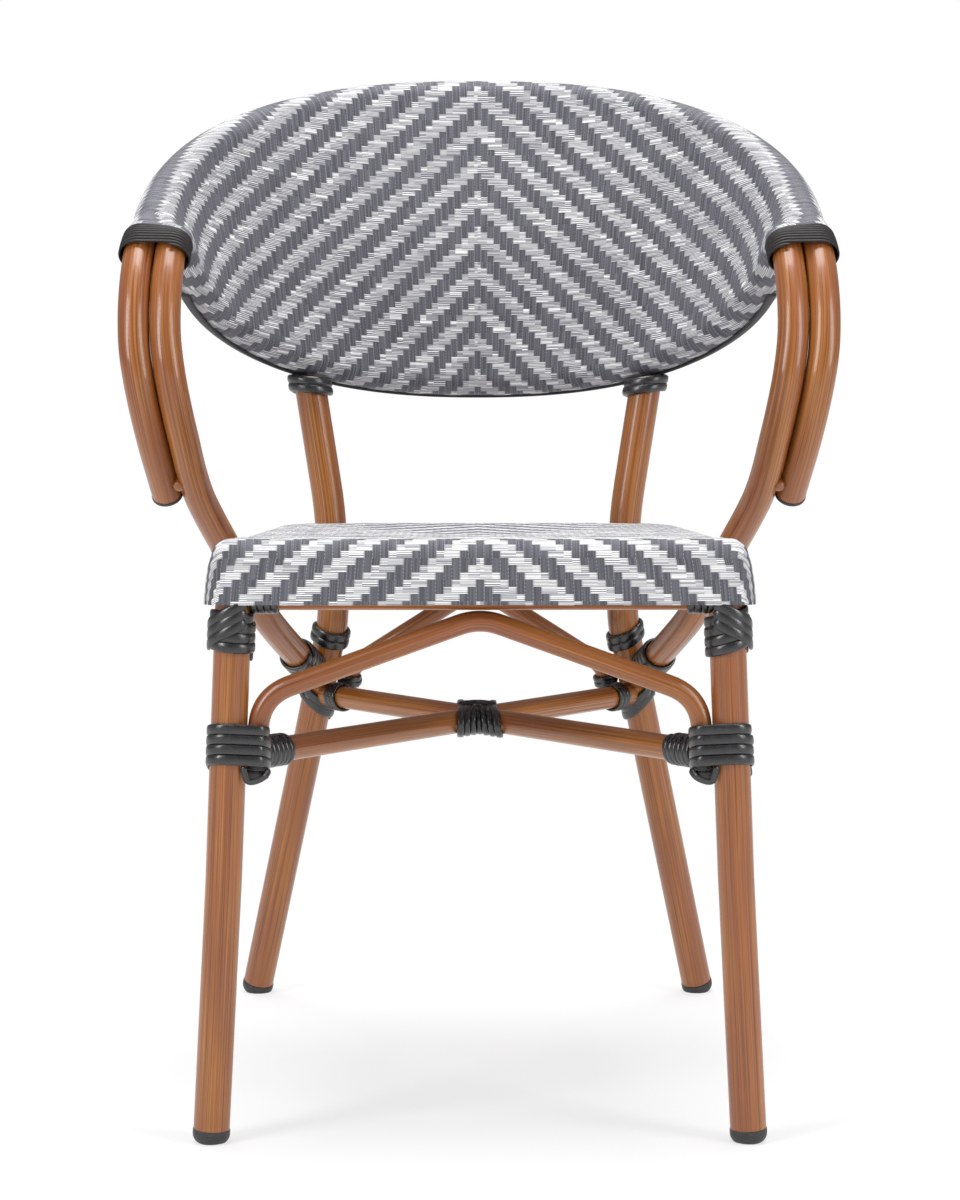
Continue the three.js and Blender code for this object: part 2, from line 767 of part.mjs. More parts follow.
// The least distance between points of a winding that lie half a turn or more apart along it
function leastGap(rings) {
  let least = Infinity;
  for (let i = 0; i < rings.length; i++)
    for (let j = i + Math.floor(turn_steps / 2); j < rings.length; j++)
      for (const a of rings[i]) for (const b of rings[j]) least = Math.min(least, a.distanceTo(b));
  return least;
}

// A guide round one tube, or round two that lie side by side. The tube is straight, or a bent leg. Round
// a thinner second tube the winding reaches less far sideways, and stays flush in front and behind.
const turn_stretch = 1 / Math.cos(Math.PI / turn_steps);
function roundGuide(spot) {
  const [radius, narrow] = [spot.radius, spot.narrow_radius ?? spot.radius].map(
    (size) => (size + fit_gap + half(spot.thickness)) * turn_stretch,
  );
  return (travel, angle) => {
    const shift = (travel - 0.5) * spot.length + spot.pitch / 4;
    const { point, axis } = spot.along(shift);
    const across = spot.across.clone().addScaledVector(axis, -spot.across.dot(axis)).normalize();
    const beyond = axis.clone().cross(across);
    const turned = Math.sign(Math.cos(angle));
    const sideways_reach = turned === spot.narrow_side ? narrow : radius;
    const out = across.clone().multiplyScalar(Math.cos(angle) / sideways_reach);
    out.addScaledVector(beyond, Math.sin(angle) / radius).normalize();
    const offset = half(spot.spread ?? 0) * turned + sideways_reach * Math.cos(angle);
    const spoke = across.clone().multiplyScalar(Math.cos(angle)).addScaledVector(beyond, Math.sin(angle));
    const facing = spot.towards ? Math.max(0, spoke.dot(spot.towards)) ** 2 : 0;
    const splay = (spot.splay ?? 0) * facing * Math.sign(shift) + (spot.lean ? spoke.dot(spot.lean) : 0);
    point.addScaledVector(across, offset).addScaledVector(beyond, radius * Math.sin(angle));
    point.addScaledVector(axis, splay);
    return { point, out };
  };
}
const straight = (origin, axis) => (shift) => ({ point: origin.clone().addScaledVector(axis, shift), axis });
const onLeg = (leg, height) => (shift) => {
  const { point, direction } = pointAtHeight(leg.curve, height + shift);
  return { point, axis: direction };
};

// Up a curve from its last point, from a distance along it
const upFromEnd = (curve, start) => (shift) => {
  const share = 1 - (start + shift) / curve.getLength();
  return { point: curve.getPointAt(share), axis: curve.getTangentAt(share).negate() };
};

// How far up a curve from its last point, which lies in a leg, a strap is clear of the straps on the leg
function clearOfLeg(curve, leg, strap_reach, leg_reach, clearance) {
  let low = 0;
  let high = half(curve.getLength());
  for (let i = 0; i < halvings; i++) {
    const { point, axis } = upFromEnd(curve, half(low + high))(0);
    const { point: near, direction } = pointAtHeight(leg.curve, point.z);
    const apart = point.clone().sub(near).cross(direction).length();
    const needed = leg_reach + strap_reach * Math.abs(axis.dot(direction)) + clearance;
    if (apart < needed) low = half(low + high);
    else high = half(low + high);
  }
  return high;
}

// A guide round the crossing of the stretchers, whose tubes part on both sides of the crossing
function crossingGuide(middle, heading, length, width, thickness) {
  const slope = Math.abs(heading.y / heading.x);
  const set = (half(stretcher_d) + fit_gap + half(thickness)) * turn_stretch;
  return (travel, angle) => {
    const x = (travel - 0.5) * length;
    const apart = slope * (Math.abs(x) + half(width)) * Math.sign(Math.cos(angle));
    const reach = set * Math.hypot(1, slope);
    const out = new THREE.Vector3(0, Math.cos(angle), Math.sin(angle));
    const offset = new THREE.Vector3(x, apart + reach * out.y, set * out.z);
    return { point: middle.clone().add(offset), out };
  };
}

// A guide round both hoops, from one station to another
function pairGuide(from, to, radius) {
  return (travel, angle) => {
    const { point, away, outward } = pairAxes(from + (to - from) * travel)[Math.cos(angle) > 0 ? 0 : 1];
    const out = away.multiplyScalar(Math.abs(Math.cos(angle))).addScaledVector(outward, Math.sin(angle));
    return { point: point.addScaledVector(out, radius), out };
  };
}

function lash(name, spot, turns, width, pitch, thickness) {
  const guide = roundGuide({ ...spot, length: turns * pitch, pitch, thickness });
  add(name, winding(name, guide, turns, width, thickness), strap_black);
}

// Feet: a collar under the tube and a glide, cut level at the floor
function foot(leg) {
  const { direction } = pointAtHeight(leg.curve, cap_height);
  const profile = [
    [0, -floor_cut], [half(glide_d) - glide_round, -floor_cut], [half(glide_d), glide_round],
    [half(glide_d), glide_height], [half(collar_d), glide_height], [half(collar_d), cap_height - fit_gap],
    [0, cap_height - fit_gap],
  ].map(([r, z]) => new THREE.Vector2(r, z));
  const cap = new THREE.LatheGeometry(profile, foot_sides);
  cap.rotateX(Math.PI / 2);
  cap.applyQuaternion(new THREE.Quaternion().setFromUnitVectors(new THREE.Vector3(0, 0, 1), direction));
  const base = leg.curve.getPoint(0);
  cap.translate(base.x, base.y, 0);
  const floor = new THREE.BoxGeometry(2 * collar_d, 2 * collar_d, collar_d);
  floor.translate(base.x, base.y, -half(collar_d));
  return cut(cap, [solidOf(floor)]);
}

// The part of a leg below its foot cap, to be cut off square to the leg
function footCutter(leg) {
  const { direction } = pointAtHeight(leg.curve, cap_height);
  const block = new THREE.CylinderGeometry(collar_d, collar_d, 4 * cap_height, cutter_sides);
  block.rotateX(Math.PI / 2);
  block.translate(0, 0, -cap_height);
  block.applyQuaternion(new THREE.Quaternion().setFromUnitVectors(new THREE.Vector3(0, 0, 1), direction));
  const base = leg.curve.getPoint(0);
  block.translate(base.x, base.y, 0);
  return solidOf(block);
}

// A short round plug on the end of a tube
function plug(end, direction, diameter, length) {
  const profile = [
    [0, 0], [half(diameter), 0], [half(diameter), plug_straight_share * length],
    [plug_tip_share * half(diameter), length], [0, length],
  ].map(([r, z]) => new THREE.Vector2(r, z));
  const body = new THREE.LatheGeometry(profile, plug_sides);
  body.rotateX(Math.PI / 2);
  body.applyQuaternion(new THREE.Quaternion().setFromUnitVectors(new THREE.Vector3(0, 0, 1), direction));
  const seat = end.clone().addScaledVector(direction, fit_gap);
  body.translate(seat.x, seat.y, seat.z);
  return body;
}

const trim_cutter = solidOf(skin(trimRings(fit_gap)));
const lower_cutter = cutterOf(lower_rail);
const upper_cutter = cutterOf(upper_rail);
const leg_cutters = {};

for (const [name, side] of Object.entries(sides_of)) {
  leg_cutters[name] = { front: cutterOf(front_leg[name]), rear: cutterOf(rear_leg[name]) };
  const frame_cutters = [cutterOf(front_rail), cutterOf(seat_rim)];
  frame_cutters.push(footCutter(front_leg[name]));
  add(`front_leg_${name}`, cut(tube(front_leg[name]), frame_cutters), tube_brown);
  const top_cutters = [footCutter(rear_leg[name]), legTopCutter(side), trim_cutter];
  add(`rear_leg_${name}`, cut(tube(rear_leg[name]), top_cutters), tube_brown);
  add(`front_foot_${name}`, foot(front_leg[name]), cap_black);
  add(`rear_foot_${name}`, foot(rear_leg[name]), cap_black);
}

// Only the hoop part of the lower rail cuts the leg top: the tail is coped to the leg instead
function legTopCutter(side) {
  const station = side * Math.round(stationAt(lower_rail, leg_meet_half));
  const points = cope_stations.map((step) => onHoop(lower_rail, station + step).point);
  return solidOf(tube(stationRoute(points, arm_d, 2 * leg_sides), 2 * fit_gap));
}

const rear_cutters = [leg_cutters.left.rear, leg_cutters.right.rear];
const front_cutters = [leg_cutters.left.front, leg_cutters.right.front];
add("upper_hoop", tube(upper_rail), tube_brown);
add("lower_hoop", cut(tube(lower_rail), tailCutters()), tube_brown);

// Rear legs without their tops, so that they cope the tails and leave the hoop alone
function tailCutters() {
  return Object.values(sides_of).map((side) => {
    const name = side < 0 ? "left" : "right";
    const top = half(rear_neck_height + rear_knee_height);
    const box = new THREE.BoxGeometry(4 * leg_d, stance_depth, rear_neck_height);
    const spot = pointAtHeight(rear_leg[name].curve, top).point;
    box.translate(spot.x, spot.y, top + half(rear_neck_height));
    return leg_cutters[name].rear.subtract(solidOf(box));
  });
}

add("seat_front_rail", tube(front_rail), tube_brown);
add("seat_rim", cut(tube(seat_rim), [cutterOf(front_rail)]), tube_brown);
add("front_cross_rail", cut(tube(cross_rail), front_cutters), tube_brown);
add("rear_cross_rail", cut(tube(rear_rail), rear_cutters), tube_brown);
add("seat_carrier", cut(tube(carrier), [lower_cutter]), tube_brown);
add("front_arch_brace", tube(front_arch), tube_brown);
add("rear_arch_brace", tube(rear_arch), tube_brown);
const stretcher_cutters = [...front_cutters, ...rear_cutters, lower_cutter];
add("stretcher_long", cut(tube(long_stretcher), stretcher_cutters), tube_brown);
const long_cutter = cutterOf(long_stretcher);
add("stretcher_front_half", cut(tube(split_front), [...front_cutters, long_cutter]), tube_brown);
add("stretcher_rear_half", cut(tube(split_rear), [...rear_cutters, long_cutter, lower_cutter]), tube_brown);

for (const [name, side] of Object.entries(sides_of)) {
  const foot_of = onHoop(lower_rail, side * stationAt(lower_rail, strut_half)).point;
  const head_of = onHoop(upper_rail, side * stationAt(upper_rail, strut_half)).point;
  const strut = route(line(foot_of, head_of), strut_d, 1, thin_sides);
  add(`back_strut_${name}`, cut(tube(strut), [lower_cutter, upper_cutter]), tube_brown);
  const arm_end = outerArm(side).pop();
  const arm_t = side < 0 ? 0 : 1;
  const arm_direction = upper_rail.curve.getTangent(arm_t).multiplyScalar(side);
  add(`arm_cap_${name}`, plug(arm_end, arm_direction, arm_d + 2 * arm_cap_lip, arm_cap_length), cap_black);
  const last = arm_out_shares.length - 1;
  const outer_spot = outerArm(side)[last].lerp(outerArm(side)[last - 1], nub_share);
  const inner_spot = inner_arm(side)[last].lerp(inner_arm(side)[last - 1], nub_share);
  const nub = route(line(inner_spot, outer_spot), nub_d, 1, thin_sides);
  add(`arm_spacer_${name}`, cut(tube(nub), [lower_cutter, upper_cutter]), tube_brown);
  const arch_t = side < 0 ? 0 : 1;
  const arch_direction = front_arch.curve.getTangent(arch_t).multiplyScalar(side);
  const arch_end = front_arch.curve.getPoint(arch_t);
  add(`arch_plug_${name}`, plug(arch_end, arch_direction, brace_d, plug_length), cap_black);
}

add("back_sleeve", cut(sleeve(), rear_cutters), weave_grey);
add("back_edge_trim", skin(trimRings(0)), strap_black);
add("seat_sling", sling(), weave_grey);

// Lashings
const sideways = new THREE.Vector3(1, 0, 0);
const upwards = new THREE.Vector3(0, 0, 1);
const backwards = new THREE.Vector3(0, 1, 0);
const sideBy = (distance) => sideways.clone().multiplyScalar(distance);
for (const [name, side] of Object.entries(sides_of)) {
  const front = front_leg[name];
  const rear = rear_leg[name];
  const round_leg = { across: sideways, radius: half(leg_d) };
  const strap = [strap_width, strap_pitch, strap_thickness];
  const thin = [thin_width, thin_pitch, thin_thickness];

  lash(`front_leg_lashing_${name}`,
    { ...round_leg, along: onLeg(front, leg_lashing_height), lean: sideBy(side * leg_lashing_lean) },
    leg_lashing_turns, strap_width, leg_lashing_pitch, strap_thickness);

  const rail_end = cross_rail.curve.getPoint(side < 0 ? 0 : 1);
  rail_end.x -= side * (half(leg_d + rail_lashing_turns * thin_pitch + thin_width) + rail_lashing_start);
  lash(`rail_lashing_${name}`,
    { along: straight(rail_end, sideways), across: backwards, radius: half(rail_d) },
    rail_lashing_turns, ...thin);

  const ring_spot = pointAtHeight(front.curve, ring_height);
  const stretcher = side < 0 ? long_line : split_line;
  const towards = stretcher.to.clone().sub(stretcher.from).normalize();
  const pair_middle = ring_spot.point.clone().addScaledVector(sideways, -side * half(ring_reach));
  lash(`front_ring_lashing_${name}`,
    { along: straight(pair_middle, ring_spot.direction), across: sideways, radius: half(leg_d) + fit_gap,
      narrow_radius: half(brace_d) + fit_gap, narrow_side: -side,
      spread: ring_reach, towards: backwards, splay: ring_splay,
      lean: backwards.clone().multiplyScalar(-ring_lean) },
    ring_turns, ...strap);

  const start = stretcher_lashing_start + half(stretcher_lashing_turns * thin_pitch);
  const wrapped = stretcher.from.clone().addScaledVector(towards, start);
  lash(`front_stretcher_lashing_${name}`,
    { along: straight(wrapped, towards), across: upwards, radius: half(stretcher_d) },
    stretcher_lashing_turns, ...thin);

  lash(`rear_ring_lashing_${name}`, { ...round_leg, along: onLeg(rear, rear_ring_height) },
    rear_ring_turns, ...strap);
  lash(`rear_low_lashing_${name}`,
    { ...round_leg, along: onLeg(rear, low_ring_height), lean: sideBy(side * low_ring_lean) },
    low_ring_turns, ...strap);

  const tail = smoothCurve(inner_arm(side));
  const strapped = (diameter) => (half(diameter) + fit_gap + strap_thickness) * turn_stretch;
  const tail_start = clearOfLeg(tail, rear, strapped(arm_d), strapped(leg_d), arm_end_clearance);
  lash(`arm_end_lashing_${name}`,
    { along: upFromEnd(tail, tail_start + half(arm_end_turns * strap_pitch)), across: sideways,
      radius: half(arm_d) },
    arm_end_turns, ...strap);

  const back_stretcher = side < 0 ? split_line : long_line;
  const forward = back_stretcher.from.clone().sub(back_stretcher.to).normalize();
  const rear_start = rear_stretcher_start + half(rear_stretcher_turns * thin_pitch);
  const on_stretcher = back_stretcher.to.clone().addScaledVector(forward, rear_start);
  lash(`rear_stretcher_lashing_${name}`,
    { along: straight(on_stretcher, forward), across: upwards, radius: half(stretcher_d) },
    rear_stretcher_turns, ...thin);

  const arch_end = rear_arch.curve.getPoint(side < 0 ? 0 : 1);
  const arch_up = rear_arch.curve.getTangent(side < 0 ? 0 : 1).multiplyScalar(-side);
  const arch_start = half(arch_end_turns * thin_pitch) + fit_gap;
  lash(`rear_arch_lashing_${name}`,
    { along: straight(arch_end.addScaledVector(arch_up, arch_start), arch_up),
      across: sideways, radius: half(brace_d) },
    arch_end_turns, ...thin);

  lash(`back_ferrule_${name}`,
    { ...round_leg, along: onLeg(rear, ferrule_height), lean: sideBy(side * ferrule_lean) },
    ferrule_turns, ferrule_width, ferrule_pitch, ferrule_thickness);

  const band_radius = (sleeve_outer + band_gap + half(band_thickness)) * turn_stretch;
  const band_name = `arm_band_${name}`;
  const from = side * (half(hoop_segments) + band_start_stations);
  const to = side * (half(hoop_segments) + band_stop_stations);
  const guide = pairGuide(from, to, band_radius);
  add(band_name, winding(band_name, guide, band_turns, band_width, band_thickness), strap_black);
}

const crossing = crossingGuide(
  long_line.middle, long_line.to.clone().sub(long_line.from),
  centre_turns * centre_pitch, centre_width, thin_thickness,
);
const centre_winding = winding("centre_lashing", crossing, centre_turns, centre_width, thin_thickness);
add("centre_lashing", centre_winding, strap_black);

for (const [name, gap] of least_gaps) console.log(`${name}: least gap to itself ${gap.toFixed(2)} mm`);

export default chair;
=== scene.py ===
import math

import bpy
import numpy as np
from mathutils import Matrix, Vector


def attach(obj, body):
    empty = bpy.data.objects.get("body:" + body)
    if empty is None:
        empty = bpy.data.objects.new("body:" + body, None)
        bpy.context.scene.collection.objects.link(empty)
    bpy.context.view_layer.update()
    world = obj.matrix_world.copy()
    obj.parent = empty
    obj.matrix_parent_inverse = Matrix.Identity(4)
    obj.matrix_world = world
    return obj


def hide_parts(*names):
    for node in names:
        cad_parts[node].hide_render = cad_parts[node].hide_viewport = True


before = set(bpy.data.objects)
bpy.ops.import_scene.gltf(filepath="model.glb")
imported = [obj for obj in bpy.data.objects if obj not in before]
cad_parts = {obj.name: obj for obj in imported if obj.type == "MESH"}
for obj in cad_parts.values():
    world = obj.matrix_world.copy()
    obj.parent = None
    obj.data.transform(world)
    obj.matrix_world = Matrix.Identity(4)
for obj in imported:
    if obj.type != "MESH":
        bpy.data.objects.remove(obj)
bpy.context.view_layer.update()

MM = 0.001


def half(size):
    return size / 2


# Tubes
LEG_D, ARM_D, RIM_D, RAIL_D = 27.0, 24.0, 22.0, 22.0
CARRIER_D, STRETCHER_D, BRACE_D, STRUT_D, NUB_D = 19.0, 19.0, 15.5, 14.0, 13.0
FIT_GAP, SLEEVE_GAP, FABRIC = 0.3, 0.8, 1.3

# Stance
STANCE_DEPTH = 510.0
FRONT_FOOT_HALF, FRONT_KNEE_HALF, FRONT_KNEE_HEIGHT, FRONT_TOP_HALF = 199.8, 188.8, 197.0, 178.8
FRONT_KNEE_BEND = 900.0
REAR_FOOT_HALF, REAR_KNEE_HALF, REAR_KNEE_HEIGHT, REAR_KNEE_DEPTH = 201.5, 125.2, 350.0, 406.0
REAR_KNEE_BEND, REAR_NECK_BEND = 90.0, 320.0
REAR_NECK_HALF, REAR_NECK_HEIGHT, REAR_NECK_DEPTH = 127.0, 440.0, 405.0
LEG_MEET_HALF, LEG_MEET_DROP = 147.0, 9.0

# Seat
SEAT_HEIGHT, SEAT_FALL, FRONT_RAIL_DEPTH, FRONT_RAIL_HALF = 449.0, 14.3, -5.0, 179.0
SEAT_FRONT_HALF, SEAT_LEG_HALF, SEAT_LEG_DEPTH = 197.3, 192.5, 14.0
SEAT_FLARE_HALF, SEAT_FLARE_DEPTH = 181.5, 50.0
SEAT_REAR_HALF, SEAT_REAR_DEPTH, SEAT_REAR_BOW = 169.5, 396.0, 3.0
SEAT_FRONT_CORNER, SEAT_REAR_CORNER, SEAT_SAG = 14.0, 78.0, 5.0
SKIRT_HEIGHT, SKIRT_SPREAD, SKIRT_BULGE, SKIRT_LEG_DEPTH = 47.5, 6.0, 0.6, 17.0
CARRIER_DEPTH, CARRIER_DROP, CROSS_RAIL_DROP, REAR_RAIL_DROP = 246.0, 36.0, 41.6, 43.0
RIM_SET = half(RIM_D) + FIT_GAP + FABRIC
SKIRT_DEPTH = FRONT_RAIL_DEPTH - RIM_SET

# Back hoops and arms
UPPER = dict(power=2.38, half=258.6, depth=195.0, height=680.0, reach=305.0, climb=125.2)
LOWER = dict(power=2.25, half=237.6, depth=190.0, height=667.0, reach=270.0, climb=-109.5)
ARM_HALF, ARM_FRONT_DEPTH, ARM_GAP = 265.0, 112.0, 0.15
ARM_HALF_SHARES = [0.9905, 0.9975, 0.9945, 0.978, 0.9525, 0.9235]
ARM_DEPTH_SHARES = [0.56, 0.21, 0.02, 0, 0.22, 0.68]
ARM_HEIGHT_SHARES = [0.976, 0.9265, 0.871, 0.821, 0.7605, 0.6955]
TAIL_HALF_SHARES = [0.7717, 0.729, 0.6642, 0.5758]
TAIL_DEPTH_SHARES = [0.4255, 0.492, 0.5804, 0.7255]
TAIL_HEIGHT_SHARES = [0.6324, 0.591, 0.5324, 0.472]
TAIL_END_HEIGHT, NUB_SHARE, SLEEVE_END = 297.0, 0.27, 1.65
HOOP_SEGMENTS, STATION_EASING, OUTER_ARM_POINTS, INNER_ARM_POINTS = 36, 1.19, 12, 20

# Braces, stretchers, feet
STRETCHER_FRONT_HEIGHT, STRETCHER_REAR_HEIGHT = 287.7, 283.2
ARCH_FOOT_HEIGHT, ARCH_KNEE_HEIGHT, ARCH_KNEE_BEND, ARCH_CROWN_BEND = 283.5, 333.5, 41.0, 45.0
REAR_ARCH_FOOT_HEIGHT, REAR_ARCH_KNEE_HEIGHT = 295.0, 313.5
REAR_ARCH_KNEE_BEND, REAR_ARCH_CROWN_BEND = 26.0, 40.0
PLUG_LENGTH, STRUT_HALF, ARM_CAP_LENGTH, ARM_CAP_LIP = 4.0, 118.0, 4.0, 0.4
COLLAR_D, COLLAR_HEIGHT, GLIDE_D, GLIDE_HEIGHT = 27.8, 5.6, 22.4, 5.2

# Straps: width along the tube, thickness off it, pitch from turn to turn
STRAP = dict(width=7.7, thickness=3.3, pitch=7.5)
THIN = dict(width=5.2, thickness=2.7, pitch=4.9)
FERRULE = dict(width=8.0, thickness=5.4, pitch=6.6)
TURN_STEPS, BAND_STEPS = 48, 72
LASHING_PITCH, RING_PITCH, ARM_END_PITCH, CENTRE_PITCH = 7.3, 6.4, 7.2, 4.85
# Distances from a tube's end to its wrap, and the arm band's stations past the end of the hoop's arc
FRONT_WRAP_START, REAR_WRAP_START, TAIL_WRAP_START, BAND_FROM, BAND_TO = 33, 25, 31, 2.34, 1.36
FRONT_LASHING_HEIGHT, FRONT_RING_HEIGHT, REAR_RING_HEIGHT, LOW_RING_HEIGHT = 377.5, 291.5, 335.0, 277.0
FERRULE_HEIGHT, LEG_HEAD = 551.0, 552.0

# Camera: the photograph's, solved from the feet, the seat edges and the level tubes. Its focal length and
# the photo's height are in pixels, and its angles in degrees
PHOTO_HEIGHT, FOCAL_LENGTH, SENSOR = 1200.0, 2988.4, 36.0
CAMERA_PITCH, CAMERA_YAW = 5.16, 0.263
CAMERA_X, CAMERA_AWAY, CAMERA_HEIGHT = -10.0, 2174.9, 600.1

FRONT_Y = -half(STANCE_DEPTH + half(GLIDE_D) + SKIRT_DEPTH)
SIDES = (("left", -1), ("right", 1))
UP = np.array([0.0, 0.0, 1.0])
RIGHT = np.array([1.0, 0.0, 0.0])
BACK = np.array([0.0, 1.0, 0.0])


def at(x, depth, z):
    return np.array([x, FRONT_Y + depth, z], float)


def unit(v):
    v = np.asarray(v, float)
    return v / np.maximum(np.linalg.norm(v, axis=-1, keepdims=True), 1e-12)


def square_to(v, axis):
    return unit(v - axis * np.dot(v, axis))


def around(sides):
    return np.linspace(0, 2 * np.pi, sides, endpoint=False)


def squared(values, power):
    return np.sign(values) * np.abs(values) ** power


def seat_top(depth):
    return SEAT_HEIGHT - SEAT_FALL * (depth - SKIRT_DEPTH) / (SEAT_REAR_DEPTH - SKIRT_DEPTH)


# What every object needs, and the camera
def new_object(name, data):
    made = bpy.data.objects.new(name, data)
    bpy.context.scene.collection.objects.link(made)
    return made


def make_camera():
    data = bpy.data.cameras.new("camera")
    data.sensor_width, data.lens = SENSOR, FOCAL_LENGTH * SENSOR / PHOTO_HEIGHT
    data.clip_start, data.clip_end = 0.1, 50.0
    camera = new_object("camera", data)
    pitch, yaw = math.radians(CAMERA_PITCH), math.radians(CAMERA_YAW)
    ahead = Vector((math.sin(yaw) * math.cos(pitch), math.cos(yaw) * math.cos(pitch), -math.sin(pitch)))
    camera.location = (CAMERA_X * MM, (FRONT_Y - CAMERA_AWAY) * MM, CAMERA_HEIGHT * MM)
    camera.rotation_euler = ahead.to_track_quat("-Z", "Y").to_euler()
    bpy.context.scene.camera = camera


make_camera()


# Node graphs
class Graph:
    """A material's nodes, made one call at a time. A value is a number, a tuple or another node's output."""

    def __init__(self, name):
        self.material = bpy.data.materials.new(name)
        self.material.use_nodes = True
        self.nodes = self.material.node_tree.nodes
        self.links = self.material.node_tree.links
        self.shader = self.nodes["Principled BSDF"]

    def put(self, socket, value):
        if isinstance(value, bpy.types.NodeSocket):
            self.links.new(value, socket)
        elif value is not None:
            socket.default_value = value

    def node(self, kind, *values, output=0, **settings):
        """An output of a new node, with the values put into its first inputs."""
        made = self.nodes.new("ShaderNode" + kind)
        for name, setting in settings.items():
            setattr(made, name, setting)
        for socket, value in zip(made.inputs, values):
            self.put(socket, value)
        return made.outputs[output]

    def math(self, operation, a, b=None):
        return self.node("Math", a, b, operation=operation)

    def times(self, a, b):
        return self.math("MULTIPLY", a, b)

    def off_middle(self, share):
        return self.math("ABSOLUTE", self.math("SUBTRACT", share, 0.5))

    def cells(self, value):
        """The whole part of a value, and its share of the next whole."""
        return self.math("FLOOR", value), self.math("FRACT", value)

    def stretched(self, vector, by):
        return self.node("VectorMath", vector, by, operation="MULTIPLY")

    def attribute(self, name):
        return self.node("Attribute", attribute_name=name, output="Vector")

    def join(self, x, y, z=0.0):
        return self.node("CombineXYZ", x, y, z)

    def noise(self, vector, detail, roughness, scale=1.0):
        return self.node("TexNoise", vector, None, scale, detail, roughness, output="Fac")

    def random(self, vector):
        return self.node("TexWhiteNoise", vector, noise_dimensions="3D", output="Value")

    def spread(self, value, low, high, to_low=0.0, to_high=1.0):
        return self.node("MapRange", value, low, high, to_low, to_high, interpolation_type="SMOOTHSTEP")

    def mix(self, share, a, b):
        node = self.nodes.new("ShaderNodeMix")
        node.data_type = "RGBA"
        for index, value in ((0, share), (6, a), (7, b)):
            self.put(node.inputs[index], value)
        return node.outputs[2]

    def bump(self, height, distance, strength=1.0):
        node = self.nodes.new("ShaderNodeBump")
        node.inputs["Distance"].default_value = distance
        node.inputs["Strength"].default_value = strength
        self.put(node.inputs["Height"], height)
        self.put(self.shader.inputs["Normal"], node.outputs[0])

    def set(self, **values):
        for name, value in values.items():
            self.put(self.shader.inputs[name.replace("_", " ")], value)


def colour(red, green, blue):
    """An sRGB colour from 0 to 255 as a linear one."""
    def linear(c):
        c /= 255
        return c / 12.92 if c <= 0.04045 else ((c + 0.055) / 1.055) ** 2.4
    return (linear(red), linear(green), linear(blue), 1.0)


def paint_material():
    """Glossy caramel paint with darker and lighter streaks that run along the tube."""
    g = Graph("tube_paint")
    grain = g.attribute("grain")
    fine = g.noise(g.stretched(grain, (0.9, 0.9, 0.004)), 4.0, 0.66)
    thin = g.noise(g.stretched(grain, (1.9, 1.9, 0.006)), 2.0, 0.55)
    broad = g.noise(g.stretched(grain, (0.07, 0.07, 0.009)), 2.0, 0.5)
    paint = g.mix(g.spread(fine, 0.36, 0.66), colour(127, 72, 25), colour(170, 107, 43))
    paint = g.mix(g.spread(broad, 0.34, 0.68, 0.0, 0.6), paint, colour(130, 68, 40))
    paint = g.mix(g.spread(thin, 0.55, 0.70, 0.0, 0.85), paint, colour(74, 36, 17))
    paint = g.mix(g.spread(thin, 0.40, 0.26, 0.0, 0.4), paint, colour(198, 140, 84))
    g.set(Base_Color=paint, Roughness=g.spread(fine, 0.2, 0.8, 0.30, 0.42),
          Coat_Weight=0.4, Coat_Roughness=0.11, Specular_IOR_Level=0.5)
    g.bump(thin, 0.0001, 0.3)
    return g.material


def strap_material(name, shade, low, high, shine=0.5):
    """Satin black plastic with faint lengthwise lines and scuffs."""
    g = Graph(name)
    place = g.attribute("grain")
    lines = g.noise(g.stretched(place, (2.4, 2.4, 0.05)), 3.0, 0.6)
    scuff = g.noise(g.stretched(place, (0.25, 0.25, 0.2)), 3.0, 0.6)
    lighter = tuple(min(1.0, c * 2.1) for c in shade[:3]) + (1.0,)
    g.set(Base_Color=g.mix(g.spread(scuff, 0.45, 0.75), shade, lighter),
          Roughness=g.spread(g.math("ADD", lines, scuff), 0.6, 1.4, low, high), Specular_IOR_Level=shine)
    g.bump(lines, 0.00015, 0.4)
    return g.material


# Weave: white weft floats over three columns and grey warp floats over three rows, in chevrons
COLUMN, ROW, REPEAT, FLOAT, WARP_STRANDS = 5.77, 5.25, 6, 3, 7.0


